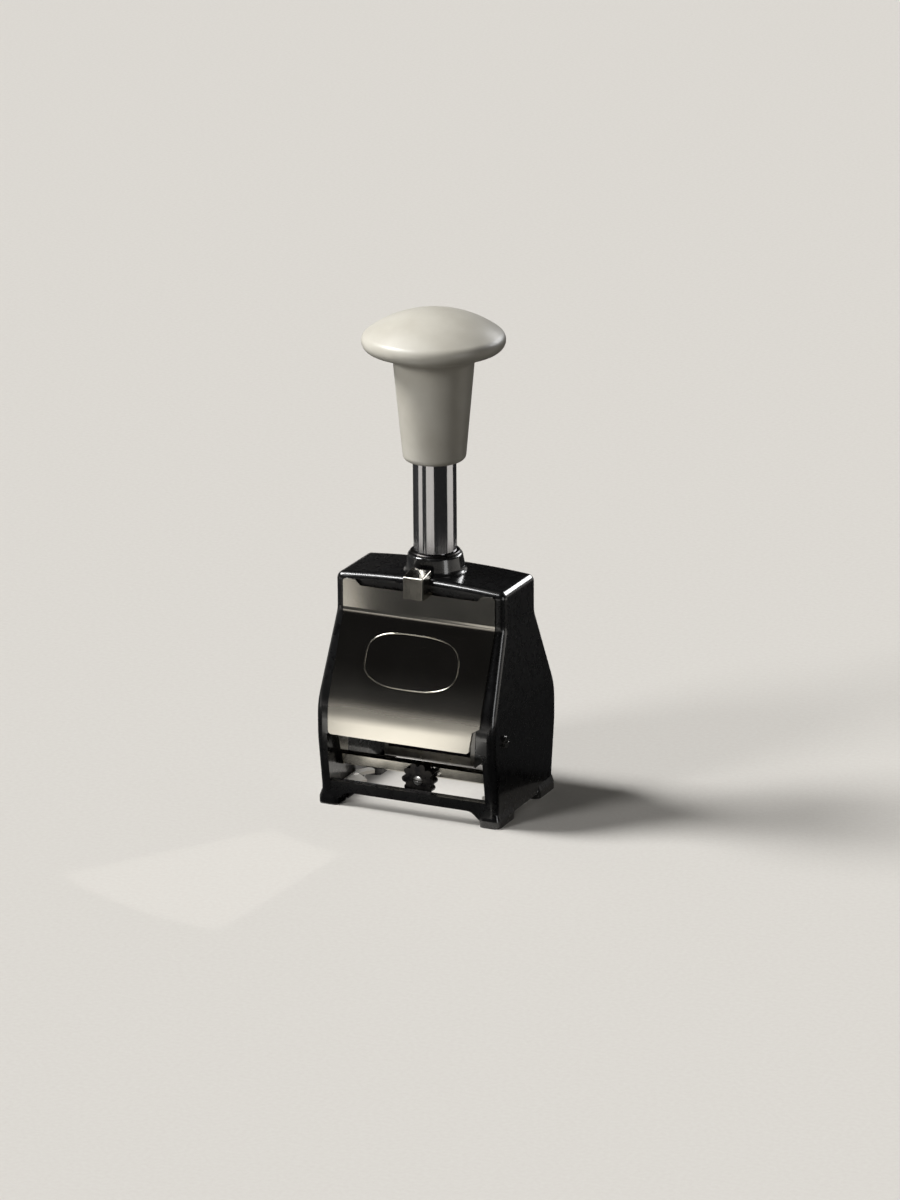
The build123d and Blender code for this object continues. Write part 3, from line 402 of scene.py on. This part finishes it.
# %% Rubber and felt
tree, shader, at_mm = start_finish("buffer_rubber", "#1c1b1a", 0.75)
grit = add_node(tree, "ShaderNodeTexNoise", {"Scale": 1 / 0.4, "Detail": 5.0}, {"Vector": at_mm})
uneven(tree, shader, grit, roughness=(0.65, 0.85), relief_mm=0.03)

tree, shader, at_mm = start_finish("inked_felt", "#1d1826", 0.9)
fibres = add_node(tree, "ShaderNodeTexNoise", {"Scale": 1 / 0.3, "Detail": 6.0}, {"Vector": at_mm})
soaked = add_node(tree, "ShaderNodeTexNoise", {"Scale": 1 / 3.0, "Detail": 3.0}, {"Vector": at_mm})
uneven(tree, shader, fibres, relief_mm=0.12)
uneven(tree, shader, soaked, roughness=(0.55, 0.95), tints=("#14111b", "#2c2538"))
shader.inputs["Sheen Weight"].default_value = 0.35
shader.inputs["Sheen Roughness"].default_value = 0.5
print(len(finishes), "finishes:", ", ".join(finishes))

# %% [markdown]
# ## Dress the solids
#
# Each solid keeps its shape and takes the finish of what it is made of.
#
# The pressed pieces have edges that a tool has rounded a little, and such an
# edge catches a line of light.  A Bevel modifier adds it.  The solid's own
# mesh stays as it is.

# %% Give each solid its finish
wears = {
    "baked_enamel": ["frame_casting"],
    "brushed_nickel": ["front_plate", "rear_plate"],
    "polished_nickel": ["bridge_bar", "lock_button", "sight_screws"],
    "satin_nickel": ["sight_plate_left", "sight_plate_right"],
    "bright_plating": ["stem_tube"],
    "satin_handle": ["knob"],
    "machined_steel": [
        "wheel_axle", "axle_nuts", "pad_arm_left", "pad_arm_right", "pad_tray", "feed_arm",
        "feed_pawl", "carriage_yoke", "stem_plug", "guide_pin", "cam_studs", "comb_screws",
        "side_screws",
    ],
    "blackened_steel": ["selector_stud", "selector_wheel", "stem_bush"],
    "spring_wire": ["main_spring", "button_spring", "detent_comb"],
    "inked_brass": [f"number_wheel_{n}" for n in range(1, 7)],
    "buffer_rubber": ["buffer_washer"],
    "inked_felt": ["ink_pad"],
}
for finish_name, names in wears.items():
    for name in names:
        for place in nodes[name].material_slots:
            place.material = finishes[finish_name]
undressed = set(nodes) - {name for names in wears.values() for name in names}
print("solids without a finish:", undressed or "none")

# %% Soften the pressed pieces' edges
edge_width = 0.00022
for name in ("front_plate", "rear_plate", "bridge_bar", "lock_button"):
    softened = nodes[name].modifiers.new("softened", "BEVEL")
    softened.width = edge_width
    softened.segments = 2
    softened.limit_method = "ANGLE"
    softened.angle_limit = radians(50)
    softened.harden_normals = True
print("edges rounded to", edge_width * 1000, "mm")

# %% [markdown]
# ## New pieces
#
# A new piece is shaped in a bmesh, Blender's editable mesh, and then put
# into the scene as an object at the origin, its place in its vertices.

# %% Put a mesh into the scene
def in_scene(name, shape, finish_name):
    """An object in a finish from a bmesh, which is used up."""
    mesh = bpy.data.meshes.new(name)
    shape.to_mesh(mesh)
    shape.free()
    mesh.materials.append(finishes[finish_name])
    thing = bpy.data.objects.new(name, mesh)
    bpy.context.scene.collection.objects.link(thing)
    return thing


print("ready for new pieces")

# %% [markdown]
# ## The figures on the wheels
#
# Every wheel carries the figures 0 to 9, cut in relief and the wrong way
# round, so that they print the right way.  A figure starts as text, is made
# a mesh, and is fitted to the type block: seen through the wheel from above,
# the lowest one must read properly.  Ten copies are then turned round the
# axle, a tenth of a turn apart.

# %% Cut one figure
def drawn(curve):
    """A bmesh of a curve or a text."""
    holder = bpy.data.objects.new("drawn", curve)
    bpy.context.scene.collection.objects.link(holder)
    bpy.context.view_layer.update()
    as_shown = holder.evaluated_get(bpy.context.evaluated_depsgraph_get())
    mesh = bpy.data.meshes.new_from_object(as_shown)
    bpy.data.objects.remove(holder)
    shape = bmesh.new()
    shape.from_mesh(mesh)
    bpy.data.meshes.remove(mesh)
    return shape


def cut_figure(figure, width, height, relief_height):
    """A bmesh of one figure, centred on the origin, standing out towards -Z."""
    text = bpy.data.curves.new("figure", "FONT")
    text.body = str(figure)
    text.extrude = 0.5
    text.resolution_u = 3
    cut = drawn(text)
    low = Vector(min(v.co[axis] for v in cut.verts) for axis in range(3))
    high = Vector(max(v.co[axis] for v in cut.verts) for axis in range(3))
    bmesh.ops.translate(cut, verts=cut.verts, vec=-(low + high) / 2)
    size = high - low
    bmesh.ops.scale(
        cut, verts=cut.verts, vec=(width / size.x, height / size.y, relief_height / size.z)
    )
    return cut


type_width, type_tall, type_relief = 0.0019, 0.0035, 0.00044
print("a figure is", type_width * 1000, "mm wide and", type_tall * 1000, "mm tall")

# %% Put ten figures on each wheel
def add_part(whole, part):
    """Adds one bmesh to another, and uses it up."""
    carrier = bpy.data.meshes.new("part")
    part.to_mesh(carrier)
    part.free()
    whole.from_mesh(carrier)
    bpy.data.meshes.remove(carrier)


block_flat = 0.0087143  # from the axle to the flat of a type block
half_drum = 0.0012  # from the drum's left side to its middle
for number in range(1, 7):
    wheel_name = f"number_wheel_{number}"
    drum_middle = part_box(wheel_name)[0].x + half_drum
    figures = bmesh.new()
    for figure in range(10):
        # a narrow 1, and the rest as wide as the block allows
        width = type_width * (0.45 if figure == 1 else 1.0)
        cut = cut_figure(figure, width, type_tall, type_relief)
        bmesh.ops.translate(cut, verts=cut.verts, vec=(0, 0, -block_flat))
        turned = Matrix.Rotation(figure * tau / 10, 4, "X")
        bmesh.ops.transform(cut, verts=cut.verts, matrix=turned)
        bmesh.ops.translate(cut, verts=cut.verts, vec=(drum_middle, axle.y, axle.z))
        add_part(figures, cut)
    ring = in_scene(f"figures_{number}", figures, "inked_brass")
    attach(ring, wheel_name)
print("six wheels with ten figures each, the last with", len(ring.data.polygons), "faces")

# %% [markdown]
# ## The ink pad
#
# The pad is a block of dense felt, soaked with ink.  It is cut, so its sides
# are straight, but its edges have gone soft and its face is a little domed
# and fuzzy.  A cube is stretched to the size of the solid it stands for,
# its edges are bevelled, it is subdivided, and noise moves the vertices a
# few hundredths of a millimetre.

# %% Make the felt pad
def smooth(thing, most_corners=inf):
    """Shades faces smooth, apart from those with more corners, which are flat ends."""
    for face in thing.data.polygons:
        face.use_smooth = len(face.vertices) <= most_corners


felt_low, felt_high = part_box("ink_pad")
felt_size = felt_high - felt_low
soft_edge, dome, fuzz = 0.0006, 0.00012, 0.00004
fuzz_per_metre = 2500
felt = bmesh.new()
bmesh.ops.create_cube(felt, size=1.0)
bmesh.ops.scale(felt, verts=felt.verts, vec=felt_size)
bmesh.ops.bevel(
    felt, geom=felt.edges, offset=soft_edge, segments=3, profile=0.5, affect="EDGES", material=-1
)
long_edges = [e for e in felt.edges if e.calc_length() > 0.004]
bmesh.ops.subdivide_edges(felt, edges=long_edges, cuts=31, use_grid_fill=True)
for vert in felt.verts:
    outwards = Vector((vert.co.x / felt_size.x, vert.co.y / felt_size.y, 0)) * 2
    crown = max(0.0, 1 - outwards.length_squared / 2) * dome
    if vert.co.z > felt_size.z * 0.4:
        vert.co.z += crown - dome / 2
    vert.co += vert.normal * noise.noise(vert.co * fuzz_per_metre) * fuzz
bmesh.ops.translate(felt, verts=felt.verts, vec=(felt_low + felt_high) / 2)
felt_pad = in_scene("felt_pad", felt, "inked_felt")
smooth(felt_pad)
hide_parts("ink_pad")
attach(felt_pad, "pad")
print("felt pad", [round(v * 1000, 1) for v in felt_size], "mm")

# %% [markdown]
# ## Springs
#
# Two springs work inside: the long one in the stem lifts the plunger, the
# short one pushes the slide button out.  Each is a round wire wound round
# an axis.  Its end turns lie close together, so that it sits flat, and the
# turns between are open.
#
# The spin operator can do this.  It turns a shape about an axis in steps, and
# here it also lifts it a little at each step, so the wire's round section
# sweeps out a coil.  It runs three times: the closed end, the open turns and
# the other closed end.
#
# A spring can't follow one body: its foot stays on the frame and its head is
# pushed down.  Here each spring is attached to the frame and gets a mesh of
# its own.

# %% Wind a wire
def wound_wire(foot, head, radius, wire, turns, end_turns=1.0, steps=20, sides=8):
    """A bmesh of a round wire wound about the line from foot to head."""
    along = (head - foot).normalized()
    out = along.orthogonal().normalized()
    wound = bmesh.new()
    section = Matrix((out, along, out.cross(along))).transposed().to_4x4()
    start = foot + along * wire / 2 + out * radius
    bmesh.ops.create_circle(
        wound, cap_ends=True, segments=sides, radius=wire / 2,
        matrix=Matrix.Translation(start) @ section,
    )
    end_rise = wire * end_turns
    open_rise = (head - foot).length - wire - 2 * end_rise
    leading = wound.verts[:] + wound.edges[:] + wound.faces[:]
    for run, rise in ((end_turns, end_rise), (turns, open_rise), (end_turns, end_rise)):
        count = round(run * steps)
        spun = bmesh.ops.spin(
            wound, geom=leading, cent=foot, axis=along, dvec=along * rise / count,
            angle=tau * run, steps=count,
        )
        leading = spun["geom_last"]
    bmesh.ops.recalc_face_normals(wound, faces=wound.faces)
    return wound


print("a wire can be wound")

# %% The lift spring
def spring(name, stands_for, wound):
    """A finished spring, attached to the frame, with a mesh of its own."""
    coil = in_scene(name, wound, "spring_wire")
    smooth(coil, most_corners=4)
    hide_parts(stands_for)
    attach(coil, "frame")
    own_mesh(coil)


low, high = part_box("main_spring")
foot, head = Vector((0, 0, low.z)), Vector((0, 0, high.z))
spring(
    "lift_spring", "main_spring", wound_wire(foot, head, radius=0.0039, wire=0.001, turns=11),
)

# %% The slide spring
low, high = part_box("button_spring")
middle_z = (low.z + high.z) / 2
foot, head = Vector((0, high.y, middle_z)), Vector((0, low.y, middle_z))
spring(
    "slide_spring", "button_spring",
    wound_wire(foot, head, radius=0.0011, wire=0.0005, turns=5, end_turns=0.75),
)

# %% [markdown]
# ## The bead on the front plate
#
# The front plate carries a plain oval frame, a fine bead pressed out of the
# sheet.  Its sides are flatter than an ellipse's.  That is what a power below
# 1 on the sine and cosine does, and the shape is called a superellipse.  The
# plate slopes, so the bead's points are laid on it by casting rays from the
# front.  The bead itself is a curve with a round bevel, sunk to half its
# thickness, and then made a mesh.

# %% Press the bead into the plate
def bead_on_plate(half_wide, low_z, high_z, fullness, thickness, count=96):
    """A bmesh of a closed bead between two heights on the front plate.

    A fullness of 2 makes it an ellipse, and more makes it squarer.
    """
    middle_z, half_tall = (high_z + low_z) / 2, (high_z - low_z) / 2
    outline = []
    for step in range(count):
        across, upright = cos(tau * step / count), sin(tau * step / count)
        outline.append((
            half_wide * copysign(abs(across) ** (2 / fullness), across),
            middle_z + half_tall * copysign(abs(upright) ** (2 / fullness), upright),
        ))
    line = bpy.data.curves.new("bead", "CURVE")
    line.dimensions = "3D"
    line.bevel_depth = thickness / 2
    line.bevel_resolution = 3
    run = line.splines.new("POLY")
    run.points.add(len(outline) - 1)
    run.use_cyclic_u = True
    for point, (x, z) in zip(run.points, outline):
        spot = nodes["front_plate"].ray_cast(Vector((x, -0.1, z)), Vector((0, 1, 0)))[1]
        point.co = (*spot, 1.0)
    return drawn(line)


oval = bead_on_plate(
    half_wide=0.0166, low_z=0.0434, high_z=0.0600, fullness=2.9, thickness=0.00045
)
bead = in_scene("plate_frame", oval, "polished_nickel")
smooth(bead)
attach(bead, "frame")
print("bead of", len(bead.data.vertices), "vertices on the front plate")

# %% [markdown]
# ## The selector's screw
#
# The selector turns on a stud that is a slotted screw.  Its head is a shallow
# dome, and the slot cuts it in two.  A sphere is flattened, cut through its
# middle, and cut again on each side of the slot, so two halves are left.
# Every cut leaves a hole, which is filled.  The halves lie on the stud's
# flat end, which is the bottom of the slot.

# %% Make the slotted head
def half_dome(radius, rise, slot, side):
    """One half of a domed screw head that faces -Y, above the slot or below it."""
    half = bmesh.new()
    bmesh.ops.create_uvsphere(half, u_segments=32, v_segments=16, radius=radius)
    bmesh.ops.scale(half, verts=half.verts, vec=(1.0, rise / radius, 1.0))
    for spot, outward in (((0, 0, 0), (0, 1, 0)), ((0, 0, side * slot / 2), (0, 0, -side))):
        cut = bmesh.ops.bisect_plane(
            half, geom=half.verts[:] + half.edges[:] + half.faces[:],
            plane_co=spot, plane_no=outward, clear_outer=True,
        )
        rim = [item for item in cut["geom_cut"] if isinstance(item, bmesh.types.BMEdge)]
        bmesh.ops.contextual_create(half, geom=rim)
    bmesh.ops.recalc_face_normals(half, faces=half.faces)
    return half


stud_low, stud_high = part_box("selector_stud")
stud_middle = (stud_low + stud_high) / 2
head_radius = (stud_high.x - stud_low.x) / 2 * 0.9
overlap = 0.00004  # the head reaches this far into the stud
head = bmesh.new()
for side in (1, -1):
    add_part(head, half_dome(head_radius, rise=0.0006, slot=0.0005, side=side))
slot_turn = Matrix.Rotation(radians(8), 3, "Y")
bmesh.ops.rotate(head, verts=head.verts, cent=(0, 0, 0), matrix=slot_turn)
seat = Vector((stud_middle.x, stud_low.y + overlap, stud_middle.z))
bmesh.ops.translate(head, verts=head.verts, vec=seat)
stud_head = in_scene("stud_head", head, "machined_steel")
smooth(stud_head, most_corners=4)
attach(stud_head, "frame")
print("screw head", round(head_radius * 2000, 2), "mm across")

# %% [markdown]
# ## The floor
#
# The machine stands on a pale paper floor that reaches far out on every
# side.  A floor so pale throws much light back up, more than dark enamel
# should get from below.  So it has a darker colour for light that bounces on
# from it, and its own colour for the eye.  From below it is clear, because
# the underside of the machine is worth a look.

# %% Pale paper
tree, shader, at_mm = start_finish("pale_floor", "#dbd7d1", 0.85)
shader.inputs["Specular IOR Level"].default_value = 0.2
fibre = add_node(tree, "ShaderNodeTexNoise", {"Scale": 1 / 1.5, "Detail": 4.0}, {"Vector": at_mm})
ray = add_node(tree, "ShaderNodeLightPath")
tint = add_node(
    tree,
    "ShaderNodeMix",
    {7: linear("#5c5a57")},
    {"Factor": ray.outputs["Is Diffuse Ray"], 6: two_tints(tree, fibre, "#d9d5cf", "#dddad4")},
    data_type="RGBA",
)
tree.links.new(tint.outputs[2], shader.inputs["Base Color"])
side = add_node(tree, "ShaderNodeNewGeometry")
from_below = add_node(
    tree,
    "ShaderNodeMath",
    feeds={0: ray.outputs["Is Camera Ray"], 1: side.outputs["Backfacing"]},
    operation="MULTIPLY",
)
clear = add_node(tree, "ShaderNodeBsdfTransparent")
one_sided = add_node(tree, "ShaderNodeMixShader", feeds={0: from_below, 1: shader, 2: clear})
result = next(node for node in tree.nodes if node.bl_idname == "ShaderNodeOutputMaterial")
tree.links.new(one_sided.outputs[0], result.inputs["Surface"])
print("paper floor: clear from below")

# %% Lay the floor
paper = bmesh.new()
bmesh.ops.create_grid(paper, x_segments=1, y_segments=1, size=8.0)
floor = in_scene("floor", paper, "pale_floor")
print("floor laid,", round(floor.dimensions.x), "m wide")

# %% [markdown]
# ## The lamps
#
# The key lamp stands high on the left and shapes the handle.  The front lamp
# is low and weak, and opens the shadows.  Both are suns: their light is even,
# so it is as strong on the floor as on the machine, and their angle makes the
# shadows soft.
#
# Black enamel shows almost no light of its own, only mirror images.  Three
# rectangular lamps are there for those: one behind on the right for the
# head's side edge, one above the head's front edge and one beside the cheek's
# corner.  They light only the frame and the few pieces that belong with it,
# which Blender calls light linking.  The last two lamps are held to the dark
# space at the bottom.

# %% Ways to hang a lamp
lamp_target = Vector((0, 0, 0.08))  # the middle of the machine


def hang(name, light, bearing, height):
    """Hangs a light one metre away, facing the machine.

    Both angles are in degrees.  Bearings are counted from the machine's front
    and grow towards +X.
    """
    hung = bpy.data.objects.new(name, light)
    bpy.context.scene.collection.objects.link(hung)
    turn, lift = radians(bearing), radians(height)
    outward = Vector((sin(turn) * cos(lift), -cos(turn) * cos(lift), sin(lift)))
    aimed = (-outward).to_track_quat("-Z", "Y").to_matrix().to_4x4()
    hung.matrix_world = Matrix.Translation(lamp_target + outward) @ aimed
    return hung


def sun(name, bearing, height, wide, strength):
    """Even light from one side, as from a lamp that looks so many degrees wide."""
    light = bpy.data.lights.new(name, "SUN")
    light.angle = radians(wide)
    light.energy = strength
    return hang(name, light, bearing, height)


def panel(name, bearing, height, width, tall, watts):
    """A rectangular lamp."""
    light = bpy.data.lights.new(name, "AREA")
    light.shape = "RECTANGLE"
    light.size, light.size_y = width, tall
    light.energy = watts
    return hang(name, light, bearing, height)


def only_for(hung, things):
    """Lets a lamp light nothing but these."""
    lit = bpy.data.collections.new(hung.name + "_lights")
    for thing in things:
        lit.objects.link(thing)
    hung.light_linking.receiver_collection = lit


print("lamps can be hung")

# %% Light for the whole machine
sun("key_lamp", bearing=-76, height=48, wide=19, strength=3.25)
front_lamp = sun("front_lamp", bearing=-32, height=24, wide=17, strength=1.15)
front_lamp.visible_glossy = False
print("key lamp and front lamp hung")

# %% Mirror images for the enamel
outer_names = ("frame_casting", "stem_bush", "lock_button", "knob")
outer_pieces = [nodes[name] for name in outer_names]
edge_lamp = panel("edge_lamp", bearing=158, height=24, width=0.60, tall=0.32, watts=6.0)
crown_lamp = panel("crown_lamp", bearing=-49, height=58, width=0.30, tall=0.16, watts=3.0)
cheek_lamp = panel("cheek_lamp", bearing=67, height=10, width=0.25, tall=0.50, watts=1.2)
for mirrored_lamp in (edge_lamp, crown_lamp, cheek_lamp):
    mirrored_lamp.visible_diffuse = False
only_for(edge_lamp, outer_pieces)
only_for(crown_lamp, outer_pieces)
only_for(cheek_lamp, outer_pieces + [nodes["front_plate"]])
print("three lamps hung for the enamel")

# %% Light for the space at the bottom
inner_names = ("sight_plate_left", "sight_plate_right", "sight_screws", "selector_wheel")
inner_work = [nodes[name] for name in inner_names]
inner_lamp = sun("inner_lamp", bearing=-8, height=27, wide=14, strength=2.6)
only_for(inner_lamp, inner_work + [stud_head])

# a small panel under the machine, facing down, for the floor seen through the opening
floor_lamp = panel("floor_lamp", bearing=0, height=90, width=0.046, tall=0.034, watts=0.0046)
floor_lamp.matrix_world = Matrix.Translation((0, 0.001, 0.0035))
floor_lamp.visible_glossy = floor_lamp.visible_camera = False
only_for(floor_lamp, [floor])
print("two lamps hung for the space at the bottom")

# %% [markdown]
# ## The room
#
# The world is what lies past the floor.  It has three looks, told apart by
# the Light Path node.  The eye sees the floor's own colour, so no horizon
# shows.  Metal and enamel mirror a studio: pale at floor level and dark
# above.  All else gets a weak even light, which keeps the shadows open.

# %% Light from all round
world = bpy.data.worlds.new("room")
bpy.context.scene.world = world
world.use_nodes = True
tree = world.node_tree
tree.nodes.clear()
ray = add_node(tree, "ShaderNodeLightPath")
direction = add_node(tree, "ShaderNodeTexCoord").outputs["Generated"]
upward = add_node(tree, "ShaderNodeSeparateXYZ", feeds={"Vector": direction}).outputs["Z"]
room_tones = add_node(tree, "ShaderNodeValToRGB", feeds={"Fac": upward})
tones = (
    (0.0, "#c9c5bf"), (0.06, "#8f8c89"), (0.16, "#1c1b1b"), (0.55, "#131313"), (1.0, "#2c2b2b"),
)
for position, tone in tones[1:-1]:
    room_tones.color_ramp.elements.new(position)
for element, (position, tone) in zip(room_tones.color_ramp.elements, tones):
    element.position = position
    element.color = linear(tone)
soft = add_node(tree, "ShaderNodeBackground", {"Color": linear("#f4f2ee"), "Strength": 0.12})
mirrored = add_node(tree, "ShaderNodeBackground", feeds={"Color": room_tones})
backdrop = add_node(tree, "ShaderNodeBackground", {"Color": linear("#dbd7d1"), "Strength": 1.0})
lit = add_node(
    tree, "ShaderNodeMixShader", feeds={0: ray.outputs["Is Glossy Ray"], 1: soft, 2: mirrored}
)
whole = add_node(
    tree, "ShaderNodeMixShader", feeds={0: ray.outputs["Is Camera Ray"], 1: lit, 2: backdrop}
)
add_node(tree, "ShaderNodeOutputWorld", feeds={"Surface": whole})
print("room light set")

# %% [markdown]
# ## The cards
#
# Polished metal only looks like metal where it has something dark to mirror
# as well.  In a studio, black cards are laid on the floor for that, and a
# white one where the metal should shine.  Here the white card is no lamp, yet
# it glows with light of its own: painted light, which only mirror images show.
# Each card here is part of a ring round the machine, made by turning a line
# about its middle.  Only mirror images show the cards, and they throw no shadow.
#
# An upright round stem mirrors the floor all round it, so cards at different
# bearings become dark bands along it.  The sloping plates mirror the floor
# close by: black for the plate's middle, and the glowing card's painted light
# for its lower edge.

# %% Lay the cards
card_height = 0.0004


def card(name, start, end, near, far, finish_name):
    """A flat card on the floor, between two bearings and two distances from the middle."""
    turn = radians(start)
    ring = bmesh.new()
    inner = ring.verts.new((near * sin(turn), -near * cos(turn), card_height))
    outer = ring.verts.new((far * sin(turn), -far * cos(turn), card_height))
    side = ring.edges.new((inner, outer))
    bmesh.ops.spin(
        ring, geom=[inner, outer, side], cent=(0, 0, 0), axis=(0, 0, 1),
        angle=radians(end - start), steps=16,
    )
    laid = in_scene(name, ring, finish_name)
    laid.visible_camera = False
    laid.visible_diffuse = False
    laid.visible_shadow = False
    laid.visible_transmission = False


start_finish("card_black", "#101010", 0.9)
shader = start_finish("glowing_card", "#101010", 0.9)[1]
# the glowing card is no lamp: its emission is painted light, seen only in mirror images
shader.inputs["Emission Color"].default_value = linear("#f4f1ea")
shader.inputs["Emission Strength"].default_value = 2.2
# name, first and last bearing in degrees, nearest and farthest point in metres, finish
cards = (
    ("stem_card_left", -44, -21, 0.28, 3.0, "card_black"),
    ("stem_card_right", 20, 94, 0.28, 3.0, "card_black"),
    ("stem_card_back", 136, 290, 0.28, 3.0, "card_black"),
    ("head_card", -29.5, -4, 0.145, 0.279, "card_black"),
    ("cheek_card", 40, 290, 0.045, 0.279, "card_black"),
    ("front_card_left", -75, -34, 0.02, 0.279, "card_black"),
    ("front_card_right", -4, 40, 0.02, 0.279, "card_black"),
    ("foot_card", -34, -4, 0.02, 0.062, "card_black"),
    ("plate_card", -34, -4, 0.062, 0.14, "glowing_card"),
)
for row in cards:
    card(*row)
print(len(cards), "cards laid")
